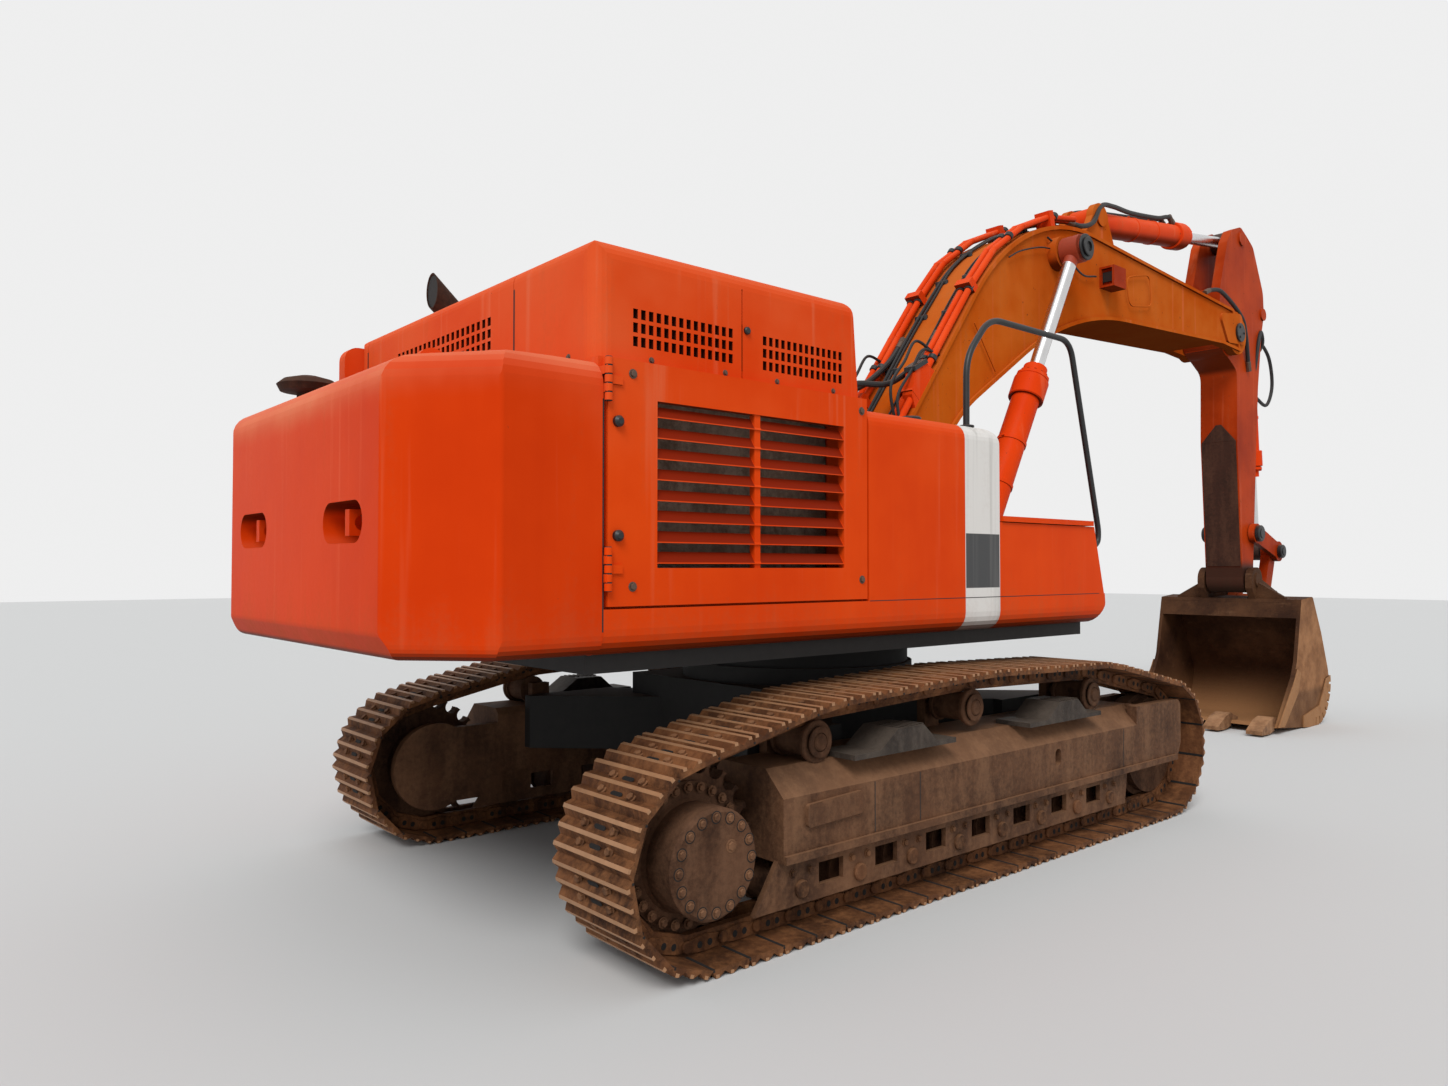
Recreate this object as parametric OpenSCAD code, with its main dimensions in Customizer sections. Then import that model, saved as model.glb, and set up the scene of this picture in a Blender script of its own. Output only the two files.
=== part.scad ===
// Crawler excavator with a one-piece boom, standing with its bucket on the ground.
// Millimetres, +X towards the bucket, +Y to the machine's left, +Z up.

/* [Undercarriage] */
// Width over the shoes
over_tracks_w = 3490; // [3200:10:3800]
// Distance between sprocket and idler axes
tumbler_gap = 4470; // [4100:10:4800]
// Width of one shoe
shoe_w = 600; // [500:10:750]
// Number of shoes in one track
shoe_count = 53; // [49:1:57]
// Radius of the pin line round sprocket and idler
pin_line_r = 417; // [390:1:440]
// Height of the pin line above the ground
pin_line_z = 86; // [80:1:100]
// Thickness of the shoe plate
shoe_plate_t = 15; // [10:1:20]
// Height of the middle carrier roller's axis
carrier_z = 1000; // [960:5:1040]
// Width of the track frame box
frame_box_w = 500; // [440:10:520]
// Top of the track frame box
frame_top_z = 850; // [800:5:880]
// Number of bottom rollers in one track
roller_count = 8; // [6:1:9]
// Diameter of the final drive cover
final_drive_d = 510; // [440:5:560]

/* [Upper structure] */
// Width over the sills
upper_w = 2990; // [2800:10:3200]
// Height of the deck's top face
deck_z = 1460; // [1420:5:1500]
// Height of the sill's top
sill_top_z = 1660; // [1600:5:1720]
// Outside radius of the slewing ring
slew_ring_r = 800; // [700:5:860]
// Rear face of the counterweight, behind the slew axis
tail_x = 3550; // [3400:10:3700]
// Front face of the counterweight, behind the slew axis
weight_front_x = 2690; // [2640:5:2740]
// Half width of the counterweight's flat rear face
weight_flat_w = 1110; // [950:5:1250]
// Top of the counterweight at its rear face
weight_top_z = 2715; // [2600:5:2800]
// Underside of the counterweight
weight_low_z = 1455; // [1440:5:1500]
// Top of the side housings
housing_top_z = 2800; // [2700:5:2900]
// Top of the hood
hood_top_z = 3360; // [3250:5:3420]
// Front edge of the hood, behind the slew axis
hood_front_x = 960; // [900:5:1050]
// Top of the tank housing
tank_top_z = 2745; // [2600:5:2790]
// Front of the tank housing
tank_front_x = 360; // [300:5:420]
// Front of the tool box at its foot
tool_box_x = 1670; // [1500:5:1700]
// Top of the tool box lid
tool_box_z = 2180; // [2100:5:2300]
// Sheet thickness of hood and housings
sheet = 30; // [20:1:40]

/* [Cab] */
// Length of the cab
cab_l = 1950; // [1800:10:2050]
// Gap between the cab and the boom cylinder
cab_gap = 31; // [20:1:60]
// Top of the cab
cab_top_z = 3320; // [3200:10:3400]
// Thickness of the cab's walls and doors
cab_wall = 60; // [50:1:70]

/* [Boom] */
// Height of the boom's foot pin
boom_foot_z = 2020; // [1950:5:2100]
// Foot pin in front of the slew axis
boom_foot_x = 420; // [350:5:480]
// Length from foot pin to tip pin
boom_l = 7049; // [6900:1:7200]
// Width of the boom
boom_w = 680; // [640:5:700]

/* [Arm] */
// Length from tip pin to bucket pin
arm_l = 2938; // [2800:2:3100]
// Lean of the arm from the vertical
arm_lean = 9.2; // [8:0.1:11]
// Width of the arm
arm_w = 430; // [400:5:460]

/* [Bucket] */
// Outside width of the bucket
bucket_w = 1640; // [1500:10:1750]
// Height of the bucket pin with the bucket on the ground
bucket_h = 1700; // [1650:5:1750]
// Plate thickness of the bucket
bucket_wall = 40; // [30:1:50]
// Number of teeth
tooth_count = 4; // [4:1:6]

/* [Cylinders] */
// Outside radius of the boom cylinder barrel
boom_barrel_r = 125; // [110:1:135]
// Radius of the boom cylinder rod
boom_rod_r = 62; // [50:1:70]
// Outside radius of the arm cylinder barrel
arm_barrel_r = 130; // [110:1:140]
// Radius of the arm cylinder rod
arm_rod_r = 65; // [50:1:70]
// Outside radius of the bucket cylinder barrel
bucket_barrel_r = 110; // [95:1:120]
// Radius of the bucket cylinder rod
bucket_rod_r = 55; // [45:1:62]
// Radius of the working pins
pin_r = 55; // [45:1:60]

/* [Hidden] */
$fn = 48;

// Gap between pieces that seat on each other
seat_gap = 0.3;
// Radial play of a pin in its bore
pin_play = 0.5;
// Side gap between pieces that turn against each other
side_gap = 12;

// Places along the machine
half_w = over_tracks_w / 2;
track_y = half_w - shoe_w / 2;
axle_x = tumbler_gap / 2;
axle_z = pin_line_z + pin_line_r;
upper_y = upper_w / 2;
boom_foot = [boom_foot_x, boom_foot_z];
boom_slope = asin((bucket_h + arm_l * cos(arm_lean) - boom_foot_z) / boom_l);
function from_boom(q) = boom_foot + turned(q, boom_slope);
boom_tip = from_boom([boom_l, 0]);
function from_arm(q) = boom_tip + q[0] * [sin(arm_lean), -cos(arm_lean)] + q[1] * [cos(arm_lean), sin(arm_lean)];
bucket_pin = from_arm([arm_l, 0]);
boom_eye = from_boom([3423, 1545]);
boom_base = boom_foot + [970, -270];
arm_base = from_boom([4636, 1734]);
arm_eye = from_arm([-1145, 590]);
curl_base = from_arm([-235, 1051]);
guide_pin = from_arm([arm_l - 535, 198]);
link_pin = bucket_pin + [770, 350];
bucket_ear_pin = bucket_pin + [540, -270];
link_boss_r = 125;
front_x = link_pin[0] + link_boss_r;
origin_x = (front_x - tail_x) / 2;

// Shapes shared by the pieces
function unit(v) = v / norm(v);
function turned(v, a) = [v[0] * cos(a) - v[1] * sin(a), v[0] * sin(a) + v[1] * cos(a)];
function angle_of(v) = atan2(v[1], v[0]);
function corner_arc(a, p, b, r, steps = 6) =
  let (
    u = unit(a - p),
    v = unit(b - p),
    half = acos(u * v) / 2,
    c = p + unit(u + v) * r / sin(half),
    s0 = angle_of(p + u * r / tan(half) - c),
    s1 = angle_of(p + v * r / tan(half) - c),
    sweep = (s1 - s0 + 540) % 360 - 180
  )
  [for (i = [0:steps]) c + r * [cos(s0 + sweep * i / steps), sin(s0 + sweep * i / steps)]];
function flat(p) = [p[0], p[1]];
// Outline of points [x, y, corner radius]
function rounded(pts, steps = 6) =
  let (n = len(pts))
  [for (i = [0:n - 1])
    each pts[i][2] > 0
      ? corner_arc(flat(pts[(i + n - 1) % n]), flat(pts[i]), flat(pts[(i + 1) % n]), pts[i][2], steps)
      : [flat(pts[i])]];

// Outline moved inwards by d, for points running clockwise
function inset(pts, d) =
  let (n = len(pts))
  [for (i = [0:n - 1])
    let (
      p = flat(pts[i]),
      u = unit(p - flat(pts[(i + n - 1) % n])),
      v = unit(flat(pts[(i + 1) % n]) - p),
      w = [u[1] + v[1], -u[0] - v[0]],
      q = p + w * d / (1 + u * v)
    )
    [q[0], q[1], pts[i][2]]];

module placed() {
  translate([-origin_x, 0, 0]) children();
}

// Outline in the x and z plane, as deep as y0 to y1
module across(y0, y1) {
  translate([0, y1, 0]) rotate([90, 0, 0]) linear_extrude(y1 - y0) children();
}

module block(low, high) {
  translate(low) cube(high - low);
}

// Upright walls of an outline in the x and y plane
module upright(z0, z1) {
  translate([0, 0, z0]) linear_extrude(z1 - z0) children();
}

// Round bar along y
module bar_y(p, r, y0, y1) {
  translate([p[0], y0, p[1]]) rotate([-90, 0, 0]) cylinder(r = r, h = y1 - y0);
}

module both_sides() {
  children();
  mirror([0, 1, 0]) children();
}

module tube(path, r) {
  for (i = [0:len(path) - 2]) {
    d = path[i + 1] - path[i];
    translate(path[i])
      rotate([0, acos(d[2] / norm(d)), atan2(d[1], d[0])])
        cylinder(r = r, h = norm(d), $fn = 24);
    if (i > 0) translate(path[i]) sphere(r = r + 2, $fn = 24);
  }
}

// Track path: round the sprocket and idler and over the carrier rollers
carrier_line_r = 150;
carriers = [
  [1320, carrier_z - 35],
  [-70, carrier_z],
  [-1420, carrier_z - 55]
];
wheels = concat(
  [[-axle_x, axle_z, pin_line_r], [axle_x, axle_z, pin_line_r]],
  [for (c = carriers) [c[0], c[1], carrier_line_r]]
);
function wheel(i) = wheels[(i + len(wheels)) % len(wheels)];
function leg(i) = flat(wheel(i + 1)) - flat(wheel(i));
function leave(i) = angle_of(leg(i)) - 90 + asin((wheel(i)[2] - wheel(i + 1)[2]) / norm(leg(i)));
function wrap(i) = (leave(i) - leave(i - 1) + 720) % 360;
function arc_l(i) = wheel(i)[2] * wrap(i) * PI / 180;
function straight_l(i) = sqrt(norm(leg(i)) ^ 2 - (wheel(i)[2] - wheel(i + 1)[2]) ^ 2);
function start_l(i) = i == 0 ? 0 : start_l(i - 1) + arc_l(i - 1) + straight_l(i - 1);
loop_l = start_l(len(wheels));
pitch = loop_l / shoe_count;
function on_wheel(i, a) = flat(wheel(i)) + wheel(i)[2] * [cos(a), sin(a)];
function along(s, i = 0) =
  s > start_l(i + 1) && i < len(wheels) - 1 ? along(s, i + 1) :
  let (u = s - start_l(i))
  u < arc_l(i) ? on_wheel(i, leave(i - 1) + u / wheel(i)[2] * 180 / PI)
  : on_wheel(i, leave(i)) + (u - arc_l(i)) * [-sin(leave(i)), cos(leave(i))];
pins = [for (k = [0:shoe_count - 1]) along((k + 0.5) * pitch)];
function pin(k) = pins[(k + shoe_count) % shoe_count];
function link_dir(k) = unit(pin(k + 1) - pin(k));
function outward(k) = [link_dir(k)[1], -link_dir(k)[0]];
// Point on the joint line at pin k, v outside the pin line
function joint(k, v) =
  let (n = unit(outward(k - 1) + outward(k)))
  pin(k) + n * v / (n * outward(k));
function on_link(k, u, v) = pin(k) + link_dir(k) * u * norm(pin(k + 1) - pin(k)) + outward(k) * v;

// Heights from the pin line: rail foot, plate faces, grouser tips
rail_in = -50;
plate_in = 46;
plate_out = plate_in + shoe_plate_t;
groove_v = plate_in + 5;
grouser_tip = pin_line_z;
grouser_w = 0.045;
grouser_at = [0.1, 0.5, 0.9];

function shoe_outline(k) = concat(
  [joint(k, groove_v)],
  [for (g = [0:2]) each concat(
    [on_link(k, grouser_at[g] - grouser_w, grouser_tip), on_link(k, grouser_at[g] + grouser_w, grouser_tip)],
    g < 2 ? [on_link(k, (grouser_at[g] + grouser_at[g + 1]) / 2, plate_out)] : []
  )]
);

rail_near = 48;
rail_w = 42;

module link_rail() {
  difference() {
    polygon([for (k = [0:shoe_count - 1]) joint(k, plate_in - seat_gap)]);
    polygon([for (k = [0:shoe_count - 1]) joint(k, rail_in)]);
  }
}

module track_loop(y) {
  color("#6b4a33") placed() {
    across(y - shoe_w / 2, y + shoe_w / 2)
      difference() {
        polygon([for (k = [0:shoe_count - 1]) each shoe_outline(k)]);
        polygon([for (k = [0:shoe_count - 1]) joint(k, plate_in)]);
      }
    for (side = [-1, 1])
      across(y + side * (rail_near + rail_w / 2) - rail_w / 2, y + side * (rail_near + rail_w / 2) + rail_w / 2)
        link_rail();
  }
}

module track_right() {
  track_loop(-track_y);
}

module track_left() {
  track_loop(track_y);
}

// Track frame
frame_out_y = track_y + frame_box_w / 2;
frame_in_y = track_y - frame_box_w / 2;
frame_low_z = 405;
frame_rear_x = -axle_x + pin_line_r + 45;
frame_front_x = axle_x - pin_line_r - 15;
fork_front_x = axle_x + 190;
fork_t = 75;
shoulder = 130;
ledge_t = 40;
ledge_out = 20;
guard_t = 30;
guard_gap = 365;
guard_low_z = 175;
guard_rear_x = -axle_x + 300;
guard_front_x = axle_x - 600;
motor_plate_t = 55;
motor_plate_r = 290;
roller_z = 250;
roller_shaft_r = 38;
roller_first_x = guard_rear_x + 320;
roller_last_x = guard_front_x - 220;
carrier_r = 86;
carrier_post_t = 60;
carrier_post_y = frame_in_y + 20;

module frame_section() {
  polygon([
    [frame_in_y, frame_low_z],
    [frame_out_y, frame_low_z],
    [frame_out_y, frame_top_z - shoulder],
    [frame_out_y - shoulder, frame_top_z],
    [frame_in_y + 40, frame_top_z],
    [frame_in_y, frame_top_z - 40]
  ]);
}

module along_x(x0, x1) {
  translate([x0, 0, 0]) rotate([90, 0, 90]) linear_extrude(x1 - x0) children();
}

module roller_guard(y0) {
  window_w = (roller_last_x - roller_first_x) / (roller_count - 1);
  across(y0, y0 + guard_t)
    difference() {
      polygon([
        [guard_rear_x, guard_low_z],
        [guard_front_x, guard_low_z],
        [guard_front_x + 40, frame_low_z + 20],
        [guard_rear_x + 170, frame_low_z + 20]
      ]);
      for (i = [0:roller_count - 2])
        translate([roller_first_x + (i + 0.5) * window_w, roller_z + 50])
          square([window_w * 0.42, 110], center = true);
    }
}

module track_frame_shape() {
  difference() {
    union() {
      along_x(frame_rear_x, frame_front_x) frame_section();
      block([frame_rear_x, frame_out_y - 1, frame_low_z], [guard_front_x + 700, frame_out_y + ledge_out, frame_low_z + ledge_t]);
      for (y0 = [frame_in_y, frame_out_y - fork_t])
        across(y0, y0 + fork_t)
          polygon(rounded([
            [frame_front_x - 60, frame_low_z, 0],
            [fork_front_x - 60, frame_low_z, 40],
            [fork_front_x, frame_low_z + 120, 40],
            [fork_front_x, frame_top_z, 60],
            [frame_front_x - 60, frame_top_z, 0]
          ]));
      block([frame_front_x - 1, frame_in_y, frame_top_z - 60], [frame_front_x + 60, frame_out_y, frame_top_z]);
      across(frame_out_y - 1, frame_out_y + 22)
        polygon(rounded([
          [frame_rear_x + 150, 560, 20],
          [frame_rear_x + 560, 575, 20],
          [frame_rear_x + 560, 690, 20],
          [frame_rear_x + 150, 675, 20]
        ]));
      roller_guard(track_y - guard_gap / 2 - guard_t);
      roller_guard(track_y + guard_gap / 2);
      across(frame_in_y, frame_in_y + motor_plate_t)
        union() {
          translate([-axle_x, axle_z]) circle(r = motor_plate_r);
          translate([-axle_x, axle_z - motor_plate_r + 40])
            square([frame_rear_x + axle_x + 40, 2 * motor_plate_r - 80]);
        }
      for (c = carriers)
        block([c[0] - 70, carrier_post_y, frame_top_z - 50], [c[0] + 70, carrier_post_y + carrier_post_t, c[1] + 60]);
    }
    for (c = carriers)
      bar_y(c, carrier_r + 24, track_y - 140, track_y + 160);
    across(frame_out_y - 60, frame_out_y + 60) {
      translate([700, 600]) circle(r = 34);
      translate([700, 640]) circle(r = 34);
      translate([666, 600]) square([68, 40]);
    }
  }
}

module track_frame_left() {
  color("#6a4b35") placed() track_frame_shape();
}

module track_frame_right() {
  color("#6a4b35") placed() mirror([0, 1, 0]) track_frame_shape();
}

// Sprocket with its final drive
tooth_total = 24;
bushing_r = 44;
tooth_t = 84;
drive_face_y = half_w - 10;

module sprocket_shape() {
  across(track_y - tooth_t / 2, track_y + tooth_t / 2)
    translate([-axle_x, axle_z])
      difference() {
        circle(r = pin_line_r + 18);
        for (i = [0:tooth_total - 1])
          rotate(i * 360 / tooth_total) translate([pin_line_r, 0]) circle(r = bushing_r);
      }
  translate([-axle_x, frame_in_y + motor_plate_t, axle_z]) rotate([-90, 0, 0])
    rotate_extrude()
      polygon([
        [0, 0],
        [motor_plate_r - 40, 0],
        [motor_plate_r - 40, track_y - frame_in_y - motor_plate_t - 30],
        [340, track_y - frame_in_y - motor_plate_t - 30],
        [340, track_y - frame_in_y - motor_plate_t + 62],
        [final_drive_d / 2 + 12, track_y - frame_in_y - motor_plate_t + 80],
        [final_drive_d / 2, track_y - frame_in_y - motor_plate_t + 100],
        [final_drive_d / 2, drive_face_y - frame_in_y - motor_plate_t - 18],
        [final_drive_d / 2 - 18, drive_face_y - frame_in_y - motor_plate_t],
        [0, drive_face_y - frame_in_y - motor_plate_t]
      ]);
}

module sprocket_left() {
  color("#5f4632") placed() sprocket_shape();
}

module sprocket_right() {
  color("#5f4632") placed() mirror([0, 1, 0]) sprocket_shape();
}

// Idler between the fork plates
link_angle = pitch / pin_line_r * 90 / PI;
idler_r = pin_line_r * cos(link_angle) + rail_in - 2;
idler_shaft_r = 70;

module idlers() {
  color("#5f4632") placed() both_sides()
    translate([axle_x, track_y, axle_z]) rotate([-90, 0, 0])
      rotate_extrude()
        polygon([
          [0, -frame_box_w / 2 + fork_t],
          [idler_shaft_r, -frame_box_w / 2 + fork_t],
          [idler_shaft_r, -100],
          [idler_r - 60, -100],
          [idler_r, -100],
          [idler_r, -rail_near + 4],
          [idler_r + 38, -rail_near + 12],
          [idler_r + 38, rail_near - 12],
          [idler_r, rail_near - 4],
          [idler_r, 100],
          [idler_r - 60, 100],
          [idler_shaft_r, 100],
          [idler_shaft_r, frame_box_w / 2 - fork_t],
          [0, frame_box_w / 2 - fork_t]
        ]);
}

roller_r = roller_z - pin_line_z + rail_in - seat_gap;

module roller_form(tread_r, end0, end1) {
  rotate([-90, 0, 0])
    rotate_extrude()
      polygon([
        [0, end0],
        [roller_shaft_r, end0],
        [roller_shaft_r, -rail_near - rail_w - 24],
        [tread_r + 14, -rail_near - rail_w - 24],
        [tread_r + 14, -rail_near - rail_w - 4],
        [tread_r, -rail_near - rail_w - 4],
        [tread_r, rail_near + rail_w + 4],
        [tread_r + 14, rail_near + rail_w + 4],
        [tread_r + 14, rail_near + rail_w + 24],
        [roller_shaft_r, rail_near + rail_w + 24],
        [roller_shaft_r, end1],
        [0, end1]
      ]);
}

module bottom_rollers() {
  step = (roller_last_x - roller_first_x) / (roller_count - 1);
  color("#5b4330") placed() both_sides()
    for (i = [0:roller_count - 1])
      translate([roller_first_x + i * step, track_y, roller_z])
        roller_form(roller_r, -guard_gap / 2, guard_gap / 2);
}

module carrier_rollers() {
  color("#5b4330") placed() both_sides()
    for (c = carriers)
      translate([c[0], track_y, c[1]])
        roller_form(carrier_r, carrier_post_y + carrier_post_t - track_y, rail_near + rail_w + 60);
}

// Steps on the track frame's shoulder
step_l = 860;
step_y = half_w - 20;
step_starts = [-1290, 330];

module steps() {
  color("#5a5753") placed() both_sides()
    for (x = step_starts)
      across(frame_out_y - shoulder - 90, step_y)
        polygon([
          [x, frame_top_z],
          [x + step_l, frame_top_z],
          [x + step_l, frame_top_z + 28],
          [x + step_l - 170, frame_top_z + 28],
          [x + step_l - 290, frame_top_z + 130],
          [x + 350, frame_top_z + 130],
          [x + 200, frame_top_z + 28],
          [x, frame_top_z + 28]
        ]);
}

// Centre frame with its four legs and the slewing ring
ring_low_z = 1190;
ring_top_z = deck_z - 105;
ring_in_r = slew_ring_r - 165;
body_half_l = 880;
body_half_w = 820;
body_low_z = 620;
body_top_z = ring_low_z - 110;
leg_low_z = 560;
leg_top_z = 930;

module carbody() {
  color("#3a322c") placed() {
    block([-body_half_l, -body_half_w, body_low_z], [body_half_l, body_half_w, body_top_z]);
    translate([0, 0, body_top_z - 1]) cylinder(r = slew_ring_r + 30, h = ring_low_z - body_top_z + 1, $fn = 96);
    for (sx = [0, 1], sy = [0, 1])
      mirror([sx, 0, 0]) mirror([0, sy, 0])
        upright(leg_low_z, leg_top_z)
          polygon([
            [200, 560],
            [700, 300],
            [1560, frame_in_y - 70],
            [1560, frame_in_y],
            [820, frame_in_y],
            [820, frame_in_y - 70]
          ]);
  }
}

module slew_ring() {
  color("#46413c") placed()
    translate([0, 0, ring_low_z])
      difference() {
        cylinder(r = slew_ring_r, h = ring_top_z - ring_low_z, $fn = 96);
        translate([0, 0, -1]) cylinder(r = ring_in_r, h = ring_top_z - ring_low_z + 2, $fn = 96);
      }
}

// Revolving frame: deck, hub in the ring, boom brackets and cylinder ears
deck_t = 100;
deck_y = upper_y - 150;
deck_front_x = 1600;
bracket_gap = boom_w + 2 * side_gap;
bracket_t = 50;
bracket_out = bracket_gap / 2 + bracket_t;
foot_boss_r = 215;
base_boss_r = 180;
boom_cyl_w = 170;
boom_cyl_y = bracket_out + side_gap + boom_cyl_w / 2;

module revolving_frame() {
  color("#2f2b28") placed() {
    block([-weight_front_x, -deck_y, deck_z - deck_t], [deck_front_x, deck_y, deck_z]);
    translate([0, 0, ring_low_z + 20])
      cylinder(r = ring_in_r - pin_play, h = deck_z - ring_low_z - 30, $fn = 96);
    both_sides() {
      across(bracket_gap / 2, bracket_out)
        union() {
          translate(boom_foot) circle(r = foot_boss_r);
          translate(boom_base) circle(r = base_boss_r);
          polygon([
            [-1250, deck_z - 1],
            [boom_foot[0] - foot_boss_r * 0.8, boom_foot[1] + foot_boss_r * 0.6],
            [boom_foot[0] + foot_boss_r * 0.75, boom_foot[1] + foot_boss_r * 0.6],
            [boom_base[0] + base_boss_r * 0.5, boom_base[1] + base_boss_r * 0.8],
            [boom_base[0] + base_boss_r, deck_z - 1]
          ]);
        }
      bar_y(boom_foot, pin_r + 30, bracket_out - 1, bracket_out + 30);
      bar_y(boom_base, pin_r, bracket_out - 1, boom_cyl_y + boom_cyl_w / 2 + 21);
      bar_y(boom_base, pin_r + 30, boom_cyl_y + boom_cyl_w / 2 + 5, boom_cyl_y + boom_cyl_w / 2 + 21);
    }
    bar_y(boom_foot, pin_r, -bracket_out, bracket_out);
    block([cab_rear_x, cab_in_y + 10, deck_z - 1], [deck_front_x, deck_y, cab_low_z - seat_gap]);
  }
}

// Sills: rounded skirts along both sides
sill_front_x = 1690;
sill_low_z = 1450;

module sill_section() {
  polygon(rounded([
    [deck_y + seat_gap, sill_low_z, 0],
    [upper_y, sill_low_z, 120],
    [upper_y, sill_top_z, 0],
    [deck_y + seat_gap, sill_top_z, 0]
  ]));
}

module sills() {
  color("#d8431c") placed() both_sides()
    intersection() {
      along_x(-weight_front_x + seat_gap, sill_front_x) sill_section();
      across(deck_y - 10, upper_y + 10)
        polygon(rounded([
          [-weight_front_x, sill_low_z - 10, 0],
          [sill_front_x - 90, sill_low_z - 10, 60],
          [sill_front_x, sill_low_z + 130, 60],
          [sill_front_x - 10, sill_top_z + 10, 0],
          [-weight_front_x, sill_top_z + 10, 0]
        ]));
    }
}

// Counterweight
weight_side_x = 3190;
weight_round = 130;
crease_r = 30;
socket_x = -weight_front_x - 330;
socket_top_z = weight_top_z + 80;
socket_r = 25;
socket_depth = 90;
cap_x = -weight_front_x - 360;
cap_y = upper_y - 165;

// Room inside the slanted corner face, its upper edge rounded
module corner_room() {
  slant = [weight_side_x - tail_x, upper_y - weight_flat_w];
  translate([-weight_side_x, -upper_y, 0]) rotate([0, 0, angle_of(slant)])
    along_x(-tail_x, tail_x)
      polygon(rounded([
        [-2 * tail_x, weight_low_z, 0],
        [0, weight_low_z, 70],
        [0, weight_top_z + 60, weight_round],
        [-2 * tail_x, weight_top_z + 60, 0]
      ]));
}
recess_w = 490;
recess_h = 190;
recess_z = 2050;
recess_y = 680;
recess_depth = 190;
lug_t = 50;
lug_bore_r = 35;

module slot_shape(w, h) {
  union() {
    square([w - h, h], center = true);
    for (s = [-1, 1]) translate([s * (w - h) / 2, 0]) circle(r = h / 2);
  }
}

module counterweight() {
  color("#d8431c") placed() {
    difference() {
      intersection() {
        upright(weight_low_z, weight_top_z + 200)
          polygon(rounded([
            [-weight_front_x, -upper_y, 0],
            [-weight_side_x, -upper_y, crease_r],
            [-tail_x, -weight_flat_w, crease_r],
            [-tail_x, weight_flat_w, crease_r],
            [-weight_side_x, upper_y, crease_r],
            [-weight_front_x, upper_y, 0]
          ]));
        across(-upper_y, upper_y)
          polygon(rounded([
            [-weight_front_x, weight_low_z, 0],
            [-tail_x + 60, weight_low_z, 60],
            [-tail_x, weight_low_z + 110, 60],
            [-tail_x, weight_top_z + 30, weight_round],
            [-weight_front_x, weight_top_z + 70, 0]
          ]));
        along_x(-tail_x, -weight_front_x)
          polygon(rounded([
            [-upper_y, weight_low_z, 90],
            [upper_y, weight_low_z, 90],
            [upper_y, weight_top_z + 70, weight_round],
            [-upper_y, weight_top_z + 70, weight_round]
          ]));
        corner_room();
        mirror([0, 1, 0]) corner_room();
      }
      for (s = [-1, 1])
        translate([socket_x, s * recess_y, socket_top_z - socket_depth]) cylinder(r = socket_r, h = 2 * socket_depth);
      for (s = [-1, 1])
        translate([-tail_x - 1, s * recess_y, recess_z]) rotate([90, 0, 90])
          linear_extrude(recess_depth) slot_shape(recess_w, recess_h);
    }
    for (s = [-1, 1])
      difference() {
        block([-tail_x + 25, s * recess_y - lug_t / 2, recess_z - 60], [-tail_x + recess_depth + 1, s * recess_y + lug_t / 2, recess_z + 60]);
        bar_y([-tail_x + 85, recess_z], lug_bore_r, s * recess_y - lug_t, s * recess_y + lug_t);
      }
    for (s = [-1, 1])
      translate([socket_x, s * recess_y, 0])
        difference() {
          translate([0, 0, weight_top_z - 40]) cylinder(r = 62, h = socket_top_z - weight_top_z + 40);
          translate([0, 0, socket_top_z - socket_depth]) cylinder(r = socket_r, h = 2 * socket_depth);
        }
    translate([cap_x, cap_y, weight_top_z - 40]) cylinder(r = 80, h = socket_top_z - weight_top_z + 40);
  }
}

// Engine and radiator
radiator_t = 160;
radiator_y = upper_y - 400;
engine_rear_x = weight_front_x - 240;
engine_front_x = hood_front_x + 390;
engine_gap = 140;

module engine() {
  color("#4a4a4a") placed()
    block(
      [-engine_rear_x, -radiator_y + engine_gap, deck_z],
      [-engine_front_x, lid_y1 - 250, housing_top_z - 100]
    );
}

module radiator() {
  color("#2a2623") placed()
    block([-weight_front_x + 130, -radiator_y - radiator_t, deck_z], [-hood_front_x - 50, -radiator_y, housing_top_z - 40]);
}

// Hood over the engine, with vent slots
hood_rear_x = weight_front_x;
hood_y = upper_y - 75;
lid_y0 = -670;
lid_y1 = upper_y - 230;
vent_cols = 14;
vent_rows = 3;
vent_z = housing_top_z + 70;
vent_h = 195;
lid_gap = 6;
// Rounded cover on the hood's left end
cover_rear_x = -weight_front_x - 110;
cover_l = 800;
cover_lift = 15;
cover_drop = 50;
lid_pin_r = 8;
lid_axis = [-hood_front_x - 70, hood_top_z - sheet / 2];

function hood_profile(in) = rounded([
  [-hood_rear_x + in, housing_top_z, 0],
  [-hood_front_x + 45 - in, housing_top_z, 0],
  [-hood_front_x - in, hood_top_z - in, 70 - in / 2],
  [-hood_rear_x + in, hood_top_z - in, 70 - in / 2]
]);

module vent_group(x0, x1, z0, z1, cols, rows) {
  for (i = [0:cols - 1], j = [0:rows - 1])
    translate([x0 + (i + 0.5) * (x1 - x0) / cols, z0 + (j + 0.5) * (z1 - z0) / rows])
      square([(x1 - x0) / cols * 0.62, (z1 - z0) / rows * 0.72], center = true);
}

module hood_edges(in) {
  intersection() {
    along_x(-2 * hood_rear_x, 0)
      polygon(rounded([
        [-hood_y + in, housing_top_z - 10, 0],
        [hood_y - in, housing_top_z - 10, 0],
        [hood_y - in, hood_top_z - in, 95 - in],
        [-hood_y + in, hood_top_z - in, 95 - in]
      ]));
    upright(housing_top_z - 10, hood_top_z + 10)
      polygon(rounded([
        [-hood_rear_x + in, -hood_y + in, 90 - in],
        [0, -hood_y + in, 0],
        [0, hood_y - in, 0],
        [-hood_rear_x + in, hood_y - in, 90 - in]
      ]));
  }
}

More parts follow.
